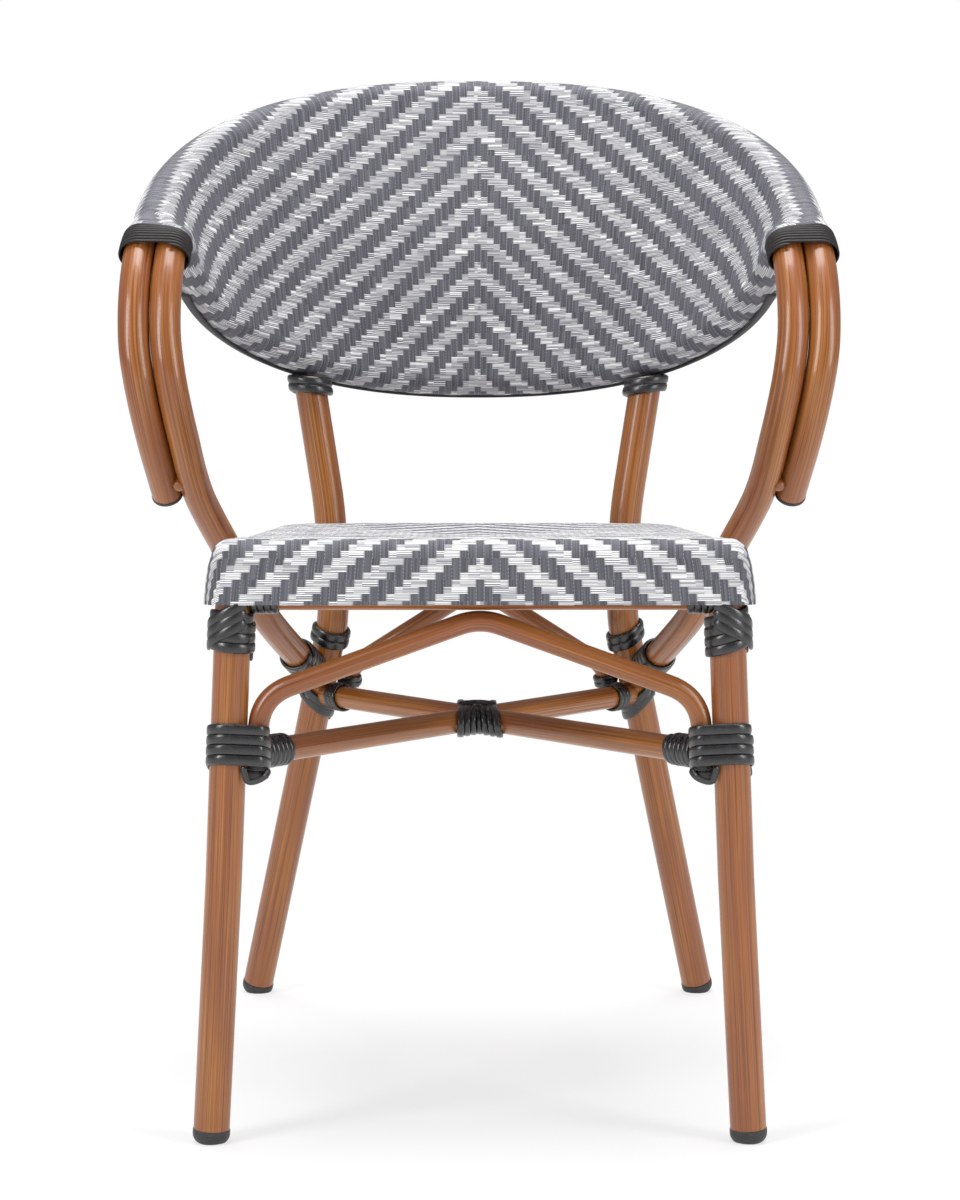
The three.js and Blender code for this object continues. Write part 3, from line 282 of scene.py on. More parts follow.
def weave_material(name, solid, clear):
    """Woven synthetic yarn. The attribute weave holds the cloth's own flat coordinates in millimetres.
    A strand is white out to the share solid of its pitch, and the painted shade in the gaps between strands is full
    from the share clear."""
    g = Graph(name)
    across, along, _ = g.node("SeparateXYZ", g.attribute("weave"), output=slice(3))
    column, in_column = g.cells(g.math("ADD", g.math("DIVIDE", g.math("ABSOLUTE", across), COLUMN), 0.5))
    row_at = g.math("DIVIDE", along, ROW)
    row, in_row = g.cells(row_at)
    phase = g.math("FLOORED_MODULO", g.math("SUBTRACT", row, column), float(REPEAT))
    weft = g.math("LESS_THAN", phase, FLOAT - 0.5)
    side = g.math("SIGN", across)

    # Weft: three to five strands to a bar, each of its own brightness, with painted shade of uneven depth in the gaps
    # between strands, along the edges of each row and at the ends of each float
    bar = g.math("DIVIDE", g.math("SUBTRACT", g.math("ADD", column, 600.0), row), float(REPEAT))
    bar = g.times(g.math("FLOOR", bar), side)
    count = g.math("FLOOR", g.math("ADD", g.times(g.random(g.join(bar, row, 9.0)), 2.6), 3.6))
    strand, in_strand = g.cells(g.times(in_row, count))
    own = g.random(g.join(bar, row, strand))
    # How dark the painted shade between strands is, at random
    depth = g.spread(g.random(g.join(bar, row, g.math("ADD", strand, 20.0))), -0.1, 0.35)
    painted_gap_shade = g.times(g.times(g.spread(g.off_middle(in_strand), solid, clear), depth), 0.95)
    over = g.math("DIVIDE", g.math("ADD", g.math("SUBTRACT", FLOAT - 1.0, phase), in_column), float(FLOAT))
    white = g.mix(g.spread(own, 0.0, 0.6), colour(188, 190, 196), colour(255, 255, 255))
    # Painted shade in the gaps between strands, in dark grey
    white = g.mix(painted_gap_shade, white, colour(86, 86, 94))
    # Painted shade along the edges of each weft row, where it meets the next row
    white = g.mix(g.spread(g.off_middle(in_row), 0.41, 0.48, 0.0, 0.6), white, colour(80, 80, 88))
    # Painted shade at both ends of each weft float, where it dives under the warp
    white = g.mix(g.spread(g.off_middle(over), 0.42, 0.5, 0.0, 0.55), white, colour(120, 120, 127))

    # Warp: seven thin strands to a column, with a dotted pale line between columns and painted shade along the edges
    # of each strand
    thread, in_thread = g.cells(g.times(in_column, WARP_STRANDS))
    tone = g.random(g.join(g.times(column, side), thread, g.math("FLOOR", g.math("DIVIDE", row, 3.0))))
    stitch = g.off_middle(g.math("FRACT", g.times(row_at, 2.0)))
    seam = g.times(g.spread(g.off_middle(in_column), 0.455, 0.49), g.spread(stitch, 0.1, 0.3))
    grey = g.mix(tone, colour(72, 72, 80), colour(108, 108, 116))
    # Painted shade along the edges of each warp strand
    grey = g.mix(g.spread(g.off_middle(in_thread), 0.28, 0.5, 0.0, 0.45), grey, colour(54, 54, 61))
    grey = g.mix(g.times(seam, 0.5), grey, colour(200, 200, 205))

    dusty = g.noise(g.join(across, along), 3.0, 0.6, 0.045)
    cloth = g.mix(g.spread(dusty, 0.3, 0.8, 0.0, 0.1), g.mix(weft, grey, white), colour(128, 128, 136))
    g.set(Base_Color=cloth, Roughness=g.math("ADD", g.times(weft, -0.14), 0.62), Specular_IOR_Level=0.35)
    weft_height = g.times(weft, g.math("SINE", g.times(in_strand, math.pi)))
    warp_height = g.times(g.math("SINE", g.times(in_thread, math.pi)), 0.5)
    warp_height = g.times(g.math("SUBTRACT", 1.0, weft), warp_height)
    g.bump(g.math("ADD", weft_height, warp_height), 0.0004, 0.8)
    return g.material


def weave_relief(across, along):
    """How far the cloth stands off its middle, in millimetres, where a float passes over and dives under."""
    column_at = np.abs(across) / COLUMN + 0.5
    row_at = along / ROW
    column, row = np.floor(column_at), np.floor(row_at)
    in_column, in_row = column_at - column, row_at - row
    phase = np.mod(row - column, REPEAT)
    weft = phase < FLOAT
    # A weft bar runs over phases 2, 1, 0 as the column grows, and a warp float over 3, 4, 5 as the row grows
    over_weft = (FLOAT - 1 - phase + in_column) / FLOAT
    over_warp = (phase - FLOAT + in_row) / FLOAT
    crown_weft = np.sin(np.pi * np.clip(over_weft, 0, 1)) ** 0.45 * np.sin(np.pi * in_row) ** 0.5
    crown_warp = np.sin(np.pi * np.clip(over_warp, 0, 1)) ** 0.45 * np.sin(np.pi * in_column) ** 0.35
    return np.where(weft, 0.52 * crown_weft, 0.32 * crown_warp)


PAINT = paint_material()
STRAPS = strap_material("strap_plastic", colour(19, 19, 22), 0.2, 0.4, 0.9)
CAPS = strap_material("cap_plastic", colour(44, 44, 45), 0.42, 0.62)
BANDS = strap_material("band_plastic", colour(29, 25, 27), 0.5, 0.7, 0.35)
EDGING = strap_material("edge_trim", colour(38, 38, 40), 0.5, 0.7)
BACK_WEAVE = weave_material("woven_back", 0.06, 0.28)
SEAT_WEAVE = weave_material("woven_seat", 0.18, 0.38)


# Meshes
def face_outwards(mesh):
    mesh.calc_loop_triangles()
    corners = np.empty(len(mesh.loop_triangles) * 3, np.int32)
    mesh.loop_triangles.foreach_get("vertices", corners)
    places = np.empty(len(mesh.vertices) * 3, np.float32)
    mesh.vertices.foreach_get("co", places)
    a, b, c = places.reshape(-1, 3)[corners].reshape(-1, 3, 3).astype(float).transpose(1, 0, 2)
    if np.einsum("ij,ij->", a, np.cross(b, c)) < 0:
        mesh.flip_normals()


def piece(name, points, faces, material, replaced, grain=None, weave=None, sharp=None):
    """A visible piece from points in millimetres, which stands for the replaced nodes of the part."""
    mesh = bpy.data.meshes.new(name)
    mesh.from_pydata((np.asarray(points) * MM).tolist(), [], [list(f) for f in faces])
    mesh.validate()
    face_outwards(mesh)
    mesh.materials.append(material)
    for label, values in (("grain", grain), ("weave", weave)):
        if values is not None:
            layer = mesh.attributes.new(label, "FLOAT_VECTOR", "POINT")
            layer.data.foreach_set("vector", np.asarray(values, np.float32).ravel())
    mesh.shade_smooth()
    if sharp is not None:
        mesh.set_sharp_from_angle(angle=math.radians(sharp))
    made = new_object(name, mesh)
    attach(made, "root")
    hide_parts(*replaced)
    return made


def grid_faces(rings, sides, start=0):
    """Quads between rings of points, each ring closed on itself."""
    i = np.arange(rings - 1)[:, None] * sides
    j = np.arange(sides)[None, :]
    k = (j + 1) % sides
    return (np.stack([i + j, i + k, i + sides + k, i + sides + j], axis=-1).reshape(-1, 4) + start).tolist()


def lengths(path):
    return np.concatenate([[0], np.cumsum(np.linalg.norm(np.diff(path, axis=0), axis=1))])


def measured(path, distances):
    """Points at distances along a line from its start."""
    s = lengths(path)
    return np.stack([np.interp(distances, s, path[:, k]) for k in range(3)], axis=-1)


def resample(path, step):
    whole = lengths(path)[-1]
    return measured(path, np.linspace(0, whole, max(2, math.ceil(whole / step) + 1)))


def tangents(path):
    return unit(np.gradient(path, axis=0))


def carried_frame(path):
    """Two directions square to a path, carried along it without twist."""
    t = tangents(path)
    n = UP if abs(t[0][2]) < 0.9 else RIGHT
    normals = []
    for heading in t:
        n = square_to(n, heading)
        normals.append(n)
    return np.array(normals), np.cross(t, normals)


def tube(name, path, diameter, sides=40, swell=1.0):
    """A painted tube along a line. swell is its radius from point to point, as a share of its own."""
    path = np.asarray(path, float)
    n, b = carried_frame(path)
    count, angle, shape = len(path), around(sides), f"{name}_shape"
    ring = np.cos(angle)[None, :, None] * n[:, None, :] + np.sin(angle)[None, :, None] * b[:, None, :]
    radii = half(diameter) * swell * np.ones(count)
    points = (path[:, None, :] + radii[:, None, None] * ring).reshape(-1, 3)
    s = lengths(path)
    shift = 31 * len(shape)
    grain = np.stack([np.tile(np.cos(angle) * half(diameter), count) + shift,
                      np.tile(np.sin(angle) * half(diameter), count) + 17 * path[0][0] / 100,
                      np.repeat(s, sides)], axis=1)
    faces = grid_faces(count, sides)
    for index, row in ((0, list(range(sides))[::-1]), (-1, list(range((count - 1) * sides, count * sides)))):
        faces += [[len(points), row[i], row[(i + 1) % sides]] for i in range(sides)]
        points = np.vstack([points, path[index]])
        grain = np.vstack([grain, [shift, 0, s[index]]])
    piece(shape, points, faces, PAINT, [name], grain=grain, sharp=40)


# Curves as lines of points
def bent_run(corners, bends, step=6.0):
    points, start = [], corners[0]
    for i in range(1, len(corners) - 1):
        back, ahead = corners[i - 1] - corners[i], corners[i + 1] - corners[i]
        room = 0.48 * min(np.linalg.norm(back), np.linalg.norm(ahead))
        turn = math.pi - math.acos(np.clip(np.dot(unit(back), unit(ahead)), -1, 1))
        setback = min(bends[i - 1] * math.tan(turn / 2), room)
        enter, leave = corners[i] + unit(back) * setback, corners[i] + unit(ahead) * setback
        points += list(np.linspace(start, enter, max(2, int(np.linalg.norm(enter - start) / 12)))[:-1])
        t = np.linspace(0, 1, max(6, int(2 * setback / step)))[:-1, None]
        points += list((1 - t) ** 2 * enter + 2 * t * (1 - t) * corners[i] + t ** 2 * leave)
        start = leave
    last = corners[-1]
    points += list(np.linspace(start, last, max(2, int(np.linalg.norm(last - start) / 12))))
    return np.array(points)


def catmull(points, where):
    """The smooth curve through points, at counts of points from its first."""
    points = np.asarray(points, float)
    ends = np.vstack([2 * points[0] - points[1], points, 2 * points[-1] - points[-2]])
    where = np.asarray(where, float)
    i = np.clip(np.floor(where).astype(int), 0, len(points) - 2)
    t = (where - i)[:, None]
    p0, p1, p2, p3 = ends[i], ends[i + 1], ends[i + 2], ends[i + 3]
    m1, m2 = half(p2 - p0), half(p3 - p1)
    return ((2 * t ** 3 - 3 * t ** 2 + 1) * p1 + (t ** 3 - 2 * t ** 2 + t) * m1
            + (-2 * t ** 3 + 3 * t ** 2) * p2 + (t ** 3 - t ** 2) * m2)


def smooth_line(points, per):
    return catmull(points, np.linspace(0, len(points) - 1, per * (len(points) - 1) + 1))


def respaced(points, count):
    line = smooth_line(points, 60)
    return measured(line, np.linspace(0, lengths(line)[-1], count + 1)[:-1])


def at_height(path, height):
    """The point of a line at a height, and its upward direction there."""
    z = path[:, 2]
    order = path if z[-1] > z[0] else path[::-1]
    z = order[:, 2]
    i = int(np.clip(np.searchsorted(z, height), 1, len(z) - 1))
    share = (height - z[i - 1]) / (z[i] - z[i - 1])
    return order[i - 1] + (order[i] - order[i - 1]) * share, unit(order[i] - order[i - 1])


FRONT_RAIL_HEIGHT = seat_top(FRONT_RAIL_DEPTH) - RIM_SET
LEG_TOP = FRONT_RAIL_HEIGHT - half(RIM_D) - FIT_GAP
CAP_HEIGHT = GLIDE_HEIGHT + COLLAR_HEIGHT
LEG_MEET_ANGLE = math.asin((LEG_MEET_HALF / LOWER["half"]) ** half(LOWER["power"]))


def hoop_point(angle, h):
    across = squared(np.sin(angle), 2 / h["power"])
    back = np.maximum(0, np.cos(angle)) ** (2 / h["power"])
    return at(h["half"] * across, h["depth"] + h["reach"] * back, h["height"] + h["climb"] * back)


def front_leg_path(side):
    return bent_run([at(side * FRONT_FOOT_HALF, 0, 0), at(side * FRONT_KNEE_HALF, 0, FRONT_KNEE_HEIGHT),
                     at(side * FRONT_TOP_HALF, 0, LEG_TOP + 8)], [FRONT_KNEE_BEND])


def rear_leg_path(side):
    corners = [at(side * REAR_FOOT_HALF, STANCE_DEPTH, 0),
               at(side * REAR_KNEE_HALF, REAR_KNEE_DEPTH, REAR_KNEE_HEIGHT),
               at(side * REAR_NECK_HALF, REAR_NECK_DEPTH, REAR_NECK_HEIGHT),
               hoop_point(side * LEG_MEET_ANGLE, LOWER) - LEG_MEET_DROP * UP]
    return bent_run(corners, [REAR_KNEE_BEND, REAR_NECK_BEND])


front_leg = {name: front_leg_path(side) for name, side in SIDES}
rear_leg = {name: rear_leg_path(side) for name, side in SIDES}


def outer_arm(side):
    reach = UPPER["depth"] - ARM_FRONT_DEPTH
    return [at(side * ARM_HALF * a, ARM_FRONT_DEPTH + reach * b, UPPER["height"] * c)
            for a, b, c in zip(ARM_HALF_SHARES, ARM_DEPTH_SHARES, ARM_HEIGHT_SHARES)]


def inner_arm(side):
    """Beside the outer arm, and on as the tail to the rear leg."""
    outer = np.array(outer_arm(side))
    heading = unit(np.gradient(outer, axis=0))
    apart = (ARM_D + ARM_GAP) / np.hypot(heading[:, 1], heading[:, 2])
    beside = list(outer - side * apart[:, None] * RIGHT)
    below = [at(side * ARM_HALF * a, STANCE_DEPTH * b, UPPER["height"] * c)
             for a, b, c in zip(TAIL_HALF_SHARES, TAIL_DEPTH_SHARES, TAIL_HEIGHT_SHARES)]
    return beside + below + [at_height(rear_leg_path(side), TAIL_END_HEIGHT)[0]]


def hoop_points(h, arm_of, arm_points):
    arc = []
    for i in range(HOOP_SEGMENTS + 1):
        from_middle = 2 * i / HOOP_SEGMENTS - 1
        turned = 1 - (1 - abs(from_middle)) ** STATION_EASING
        arc.append(hoop_point(math.copysign(turned, from_middle) * math.pi / 2, h))
    left = respaced(arm_of(-1)[::-1] + [arc[0]], arm_points)
    right = respaced(arm_of(1)[::-1] + [arc[-1]], arm_points)[::-1]
    return np.vstack([left, arc, right])


upper_stations = hoop_points(UPPER, outer_arm, OUTER_ARM_POINTS)
lower_stations = hoop_points(LOWER, inner_arm, INNER_ARM_POINTS)


def on_hoop(stations, counts):
    """Points and headings at counts of stations from the middle of a hoop."""
    where = half(len(stations) - 1) + np.atleast_1d(np.asarray(counts, float))
    nudge = 0.02
    heading = unit(catmull(stations, np.minimum(where + nudge, len(stations) - 1))
                   - catmull(stations, np.maximum(where - nudge, 0)))
    return catmull(stations, where), heading


def cap(name, origin, direction, facing, profile, sides, sharp):
    """A plastic cap turned about a direction, through (radius, distance) spots and cut level at the floor."""
    first = square_to(facing, direction)
    second = np.cross(direction, first)
    turned = [(r * math.cos(a), r * math.sin(a), z) for r, z in profile for a in around(sides)]
    points = np.array([origin + x * first + y * second + z * direction for x, y, z in turned])
    points[:, 2] = np.maximum(points[:, 2], 0)
    piece(f"{name}_shape", points, grid_faces(len(profile), sides), CAPS, [name],
          grain=np.array(turned) * (1, 1, 8), sharp=sharp)


def foot(name, leg):
    """A ribbed collar over the tube's end and a domed glide, both square to the leg."""
    rim, glide = half(COLLAR_D), half(GLIDE_D)
    profile = [(0, -1.2), (glide - 2.4, -1.2), (glide - 1.2, -0.2), (glide + 0.3, 0.9), (glide + 1.3, 2.1),
               (glide + 2.1, 3.6), (rim - 0.2, 4.8), (rim, GLIDE_HEIGHT + 1.2), (rim, CAP_HEIGHT - 1.2),
               (rim - 0.15, CAP_HEIGHT - 0.6), (rim - 0.5, CAP_HEIGHT - 0.3), (half(LEG_D) - 0.6, CAP_HEIGHT - 0.3)]
    cap(name, leg[0], at_height(leg, CAP_HEIGHT)[1], RIGHT, profile, 48, 32)


def end_plug(name, end, direction, diameter, length):
    """A short domed plug on the end of a tube."""
    r = half(diameter)
    profile = [(r - 0.8, 0.0), (r - 0.1, 0.05), (r, 0.5), (r, 0.5 * length), (r - 0.3, 0.72 * length),
               (r - 1.0, 0.88 * length), (r - 2.4, 0.97 * length), (r * 0.5, length), (0.02, length)]
    cap(name, end + 0.15 * direction, direction, BACK, profile, 40, 50)


# The frame's tubes
def leg_tube(name, path, head=np.inf):
    """A leg from inside its foot to its own end, or to the height head."""
    inside = path[(path[:, 2] > CAP_HEIGHT + 1) & (path[:, 2] < head - 1)]
    top = [] if head == np.inf else [at_height(path, head)[0]]
    tube(name, [at_height(path, CAP_HEIGHT - 0.4)[0], *inside, *top], LEG_D)


def level(a, b):
    return resample(np.array([a, b]), 15)


def end_of(line, side):
    """The end of a line on one side, and the direction out of it."""
    end, before = (line[0], line[1]) if side < 0 else (line[-1], line[-2])
    return end, unit(end - before)


for name, _ in SIDES:
    leg_tube(f"front_leg_{name}", front_leg[name])
    leg_tube(f"rear_leg_{name}", rear_leg[name], LEG_HEAD)
    foot(f"front_foot_{name}", front_leg[name])
    foot(f"rear_foot_{name}", rear_leg[name])

upper_line, lower_line = smooth_line(upper_stations, 7), smooth_line(lower_stations, 7)
tube("upper_hoop", upper_line, ARM_D)
tube("lower_hoop", lower_line, ARM_D)

rail_ends = [at(side * FRONT_RAIL_HALF, FRONT_RAIL_DEPTH, FRONT_RAIL_HEIGHT) for _, side in SIDES]
tube("seat_front_rail", level(*rail_ends), RIM_D)


def seat_outline(fine):
    """The seat's outline from above: points, and the outward direction at each."""
    corners = [np.array(c, float) for c in (
        (0, SKIRT_DEPTH, 0), (SEAT_FRONT_HALF, SKIRT_DEPTH, 0), (SEAT_LEG_HALF, SEAT_LEG_DEPTH, 0),
        (SEAT_FLARE_HALF, SEAT_FLARE_DEPTH, 0), (SEAT_REAR_HALF, SEAT_REAR_DEPTH - SEAT_REAR_BOW, 0),
        (0, SEAT_REAR_DEPTH, 0))]
    run = resample(bent_run(corners, [SEAT_FRONT_CORNER] + [SEAT_REAR_CORNER] * 3, step=1.0), fine)
    right = run[:, :2]
    heading = unit(np.gradient(run, axis=0))[:, :2]
    out = np.stack([heading[:, 1], -heading[:, 0]], axis=1)
    out[0], out[-1] = (0, -1), (0, 1)
    left, left_out = right[1:-1][::-1] * (-1, 1), out[1:-1][::-1] * (-1, 1)
    return np.vstack([right, left]), np.vstack([out, left_out])


def seat_rim_path():
    points, out = seat_outline(8)
    keep = points[:, 1] >= SEAT_FLARE_DEPTH
    inset = (points - out * RIM_SET)[keep]
    slope = (SEAT_FLARE_HALF - SEAT_REAR_HALF) / (SEAT_REAR_DEPTH - SEAT_FLARE_DEPTH)
    x = SEAT_FLARE_HALF - RIM_SET + slope * (SEAT_FLARE_DEPTH - FRONT_RAIL_DEPTH)
    spots = np.vstack([[(x, FRONT_RAIL_DEPTH)], inset, [(-x, FRONT_RAIL_DEPTH)]])
    return smooth_line([at(px, d, seat_top(d) - RIM_SET) for px, d in spots], 3)


tube("seat_rim", seat_rim_path(), RIM_D, sides=32)


def between(lines, height):
    return level(*[at_height(lines[name], height)[0] for name, _ in SIDES])


cross_rail = between(front_leg, SEAT_HEIGHT - CROSS_RAIL_DROP)
rear_rail = between(rear_leg, seat_top(SEAT_REAR_DEPTH) - REAR_RAIL_DROP)
tube("front_cross_rail", cross_rail, RAIL_D)
tube("rear_cross_rail", rear_rail, RAIL_D)

tail_line = {name: smooth_line(inner_arm(side), 20) for name, side in SIDES}
tube("seat_carrier", between(tail_line, seat_top(CARRIER_DEPTH) - CARRIER_DROP), CARRIER_D)


def arch_path(legs, rail, heights, bends, distance):
    """Up beside one leg, close under a rail and down beside the other leg."""
    def beside_leg(name, side, height):
        point, direction = at_height(legs[name], height)
        return point + square_to(-side * RIGHT, direction) * distance

    feet, knees = [[beside_leg(name, side, height) for name, side in SIDES] for height in heights]
    crown = rail.mean(axis=0) - UP * (half(RAIL_D) + FIT_GAP + half(BRACE_D))
    slope = math.atan((crown[2] - knees[0][2]) / abs(knees[0][0]))
    crown[2] += bends[1] * (1 / math.cos(slope) - 1)
    return bent_run([feet[0], knees[0], crown, knees[1], feet[1]], [*bends, bends[0]], step=3.0)


RING_REACH = half(LEG_D) + half(BRACE_D) + FIT_GAP
REAR_STRAP = 2.4
front_arch = arch_path(front_leg, cross_rail, (ARCH_FOOT_HEIGHT, ARCH_KNEE_HEIGHT),
                       (ARCH_KNEE_BEND, ARCH_CROWN_BEND), RING_REACH)
rear_arch = arch_path(rear_leg, rear_rail, (REAR_ARCH_FOOT_HEIGHT, REAR_ARCH_KNEE_HEIGHT),
                      (REAR_ARCH_KNEE_BEND, REAR_ARCH_CROWN_BEND), RING_REACH + REAR_STRAP + 2 * FIT_GAP)
tube("front_arch_brace", front_arch, BRACE_D, sides=32)
tube("rear_arch_brace", rear_arch, BRACE_D, sides=32)


def stretcher_line(front_name, rear_name):
    """A stretcher's front end, its rear end and the place where it crosses the chair's middle."""
    a = at_height(front_leg[front_name], STRETCHER_FRONT_HEIGHT)[0]
    b = at_height(rear_leg[rear_name], STRETCHER_REAR_HEIGHT)[0]
    return a, b, a + (b - a) * a[0] / (a[0] - b[0])


long_line, split_line = stretcher_line("left", "right"), stretcher_line("right", "left")
tube("stretcher_long", level(*long_line[:2]), STRETCHER_D)
tube("stretcher_front_half", level(split_line[0], split_line[2]), STRETCHER_D)
tube("stretcher_rear_half", level(split_line[2], split_line[1]), STRETCHER_D)


def strut_end(stations, side):
    counts = np.linspace(0, half(HOOP_SEGMENTS), 2000)
    points, _ = on_hoop(stations, counts)
    return on_hoop(stations, side * np.interp(STRUT_HALF, points[:, 0], counts))[0][0]


# The lump between the arm tubes: places along it, and its radius there
LUMP_PLACES = np.array([-11.9, -11.4, -10.4, -8, -4, 0, 4, 8, 10.4, 11.4, 11.9])
LUMP_SWELL = np.array([0.16, 0.45, 0.66, 0.8, 0.84, 0.84, 0.84, 0.8, 0.66, 0.45, 0.16])

for name, side in SIDES:
    tube(f"back_strut_{name}", level(strut_end(lower_stations, side), strut_end(upper_stations, side)), STRUT_D,
         sides=24)
    end_plug(f"arm_cap_{name}", *end_of(upper_line, side), ARM_D + 2 * ARM_CAP_LIP, ARM_CAP_LENGTH)
    last = len(ARM_HALF_SHARES) - 1
    spots = [arm[last] + (arm[last - 1] - arm[last]) * NUB_SHARE for arm in (inner_arm(side), outer_arm(side))]
    through = square_to(BACK, unit(outer_arm(side)[last] - outer_arm(side)[last - 1]))
    tube(f"arm_spacer_{name}", half(spots[0] + spots[1]) + LUMP_PLACES[:, None] * through, NUB_D,
         sides=24, swell=LUMP_SWELL)
    end_plug(f"arch_plug_{name}", *end_of(front_arch, side), BRACE_D, PLUG_LENGTH)


# The woven cloth
def cloth_piece(name, outer, inner, weave_outer, weave_inner, material, centres=None):
    """One closed sheet from outer and inner rings. Its first rings join, or close on a centre each."""
    rings, sides = outer.shape[:2]
    points = np.vstack([outer.reshape(-1, 3), inner.reshape(-1, 3)])
    weave = np.vstack([weave_outer.reshape(-1, 3), weave_inner.reshape(-1, 3)])
    start = rings * sides
    faces = grid_faces(rings, sides) + [f[::-1] for f in grid_faces(len(inner), sides, start)]
    k = np.arange(sides)
    k2 = (k + 1) % sides
    top, bottom = (rings - 1) * sides, start + (len(inner) - 1) * sides
    if centres is None:
        faces += np.stack([k2, k, start + k, start + k2], axis=1).tolist()
    else:
        first = np.full(sides, len(points))
        points = np.vstack([points, centres])
        weave = np.vstack([weave, weave_outer[0].mean(axis=0), weave_inner[0].mean(axis=0)])
        faces += np.stack([k2, k, first], axis=1).tolist()
        faces += np.stack([start + k, start + k2, first + 1], axis=1).tolist()
    faces += np.stack([top + k, top + k2, bottom + k2, bottom + k], axis=1).tolist()
    return piece(f"{name}_cloth", points, faces, material, [name], weave=weave)


def grid_normals(grid):
    """Normals of a grid of points, closed on itself along its second way."""
    along = np.gradient(grid, axis=0)
    return unit(np.cross(half(np.roll(grid, -1, axis=1) - np.roll(grid, 1, axis=1)), along))


def girths(grid):
    return np.linalg.norm(np.diff(grid, axis=1, append=grid[:, :1]), axis=2)


def cloth_area(grid):
    """The area of a grid of points in square metres, closed on itself along its second way."""
    return float(np.sum(np.linalg.norm(np.diff(grid, axis=0), axis=2) * girths(grid)[:-1])) * MM * MM


def beside_station(counts):
    """Along the arms, the lower tube's count of stations that lies beside the upper tube's."""
    made = np.array(counts, float)
    for i in np.flatnonzero(np.abs(made) > half(HOOP_SEGMENTS)):
        near = math.copysign(1, made[i]) * np.linspace(half(HOOP_SEGMENTS), abs(made[i]), 600)
        apart = on_hoop(lower_stations, near)[0] - on_hoop(upper_stations, made[i])[0]
        made[i] = near[np.linalg.norm(apart, axis=1).argmin()]
    return made


def both_hoops(counts):
    return on_hoop(upper_stations, counts), on_hoop(lower_stations, beside_station(counts))


def pair_axes(counts):
    """For each hoop: its points, the direction away from the other hoop and the outward one."""
    (upper, upper_heading), (lower, lower_heading) = both_hoops(counts)
    apart = upper - lower
    made = []
    for point, heading, sign in ((upper, upper_heading, 1), (lower, lower_heading, -1)):
        away = sign * apart
        away = unit(away - heading * np.sum(away * heading, axis=1, keepdims=True))
        made.append((point, away, sign * np.cross(heading, away)))
    return made


ARC_STEPS, PANEL_STEPS, BACK_STEPS, SEAT_RINGS = 34, 200, 130, 149


def sleeve_outline(counts, radius):
    """Rings round both hoops: round the upper tube, down one face, round the lower tube and up the other."""
    (upper, away_u, out_u), (lower, away_l, out_l) = pair_axes(counts)

    def arc(point, away, outward, start, stop):
        angle = np.linspace(start, stop, ARC_STEPS + 1)[:-1]
        spoke = np.cos(angle)[None, :, None] * away[:, None, :] + np.sin(angle)[None, :, None] * outward[:, None, :]
        return point[:, None, :] + radius * spoke

    def face(a, b, steps):
        t = np.linspace(0, 1, steps + 1)[:-1][None, :, None]
        return a[:, None, :] * (1 - t) + b[:, None, :] * t

    quarter = math.pi / 2
    top = arc(upper, away_u, out_u, -quarter, quarter)
    low = arc(lower, away_l, out_l, quarter, -quarter)
    first = face(upper + radius * out_u, lower + radius * out_l, PANEL_STEPS)
    second = face(lower - radius * out_l, upper - radius * out_u, BACK_STEPS)
    return np.concatenate([top, first, low, second], axis=1)


def sleeve_coordinates(rings, counts):
    """Flat coordinates of the sleeve's cloth: from the middle along the hoops, where the columns draw
    together towards the arms, and from the middle of the front face round the section, where the rows
    rise towards the arms."""
    total = np.concatenate([np.zeros((len(rings), 1)), np.cumsum(girths(rings), axis=1)[:, :-1]], axis=1)
    middle = ARC_STEPS + PANEL_STEPS // 2
    (upper, _), (lower, _) = both_hoops(counts)
    spine = half(upper + lower)
    out = np.abs(half(spine[1:, 0] + spine[:-1, 0]))
    gather = 0.985 - 0.1 * (out / 172) ** 2 - 0.09 * (out / 198) ** 12
    s = np.concatenate([[0], np.cumsum(np.linalg.norm(np.diff(spine, axis=0), axis=1) * np.maximum(gather, 0.72))])
    s = s - np.interp(0, counts, s)
    across = np.repeat(s[:, None], rings.shape[1], axis=1)
    rise = 0.45 * (lower[:, 2] - lower[len(counts) // 2, 2])
    along = total - total[:, middle:middle + 1] + rise[:, None] + BACK_ROW_SHIFT
    return across, along


# The rows at which the chevrons' points lie, on the back and on the seat
BACK_ROW_SHIFT, SEAT_ROW_SHIFT = 7.1, -24.9


def make_sleeve():
    end = half(HOOP_SEGMENTS) + SLEEVE_END
    counts = np.linspace(-end, end, 721)
    radius = half(ARM_D) + SLEEVE_GAP + FABRIC
    rings = sleeve_outline(counts, radius)
    across, along = sleeve_coordinates(rings, counts)
    normals = grid_normals(rings)
    spokes = rings - rings.mean(axis=1, keepdims=True)
    if np.sum(normals[:, :ARC_STEPS] * spokes[:, :ARC_STEPS]) < 0:
        normals = -normals
    ends = np.clip((end - np.abs(counts)) / 0.3, 0, 1)[:, None]
    outer = rings + normals * (weave_relief(across, along) * ends)[:, :, None]
    pick = np.append(np.arange(0, len(counts) - 1, 12), len(counts) - 1)
    inner = (rings - normals * FABRIC)[pick]
    weave = np.stack([across, along, np.zeros_like(across)], axis=2)
    return cloth_piece("back_sleeve", outer, inner, weave, weave[pick], BACK_WEAVE), cloth_area(rings)


back_sleeve, sleeve_area = make_sleeve()


def raised(spots, z):
    """Points at heights over (x, depth) spots of the seat."""
    return np.stack([spots[:, 0], FRONT_Y + spots[:, 1], z], axis=1)


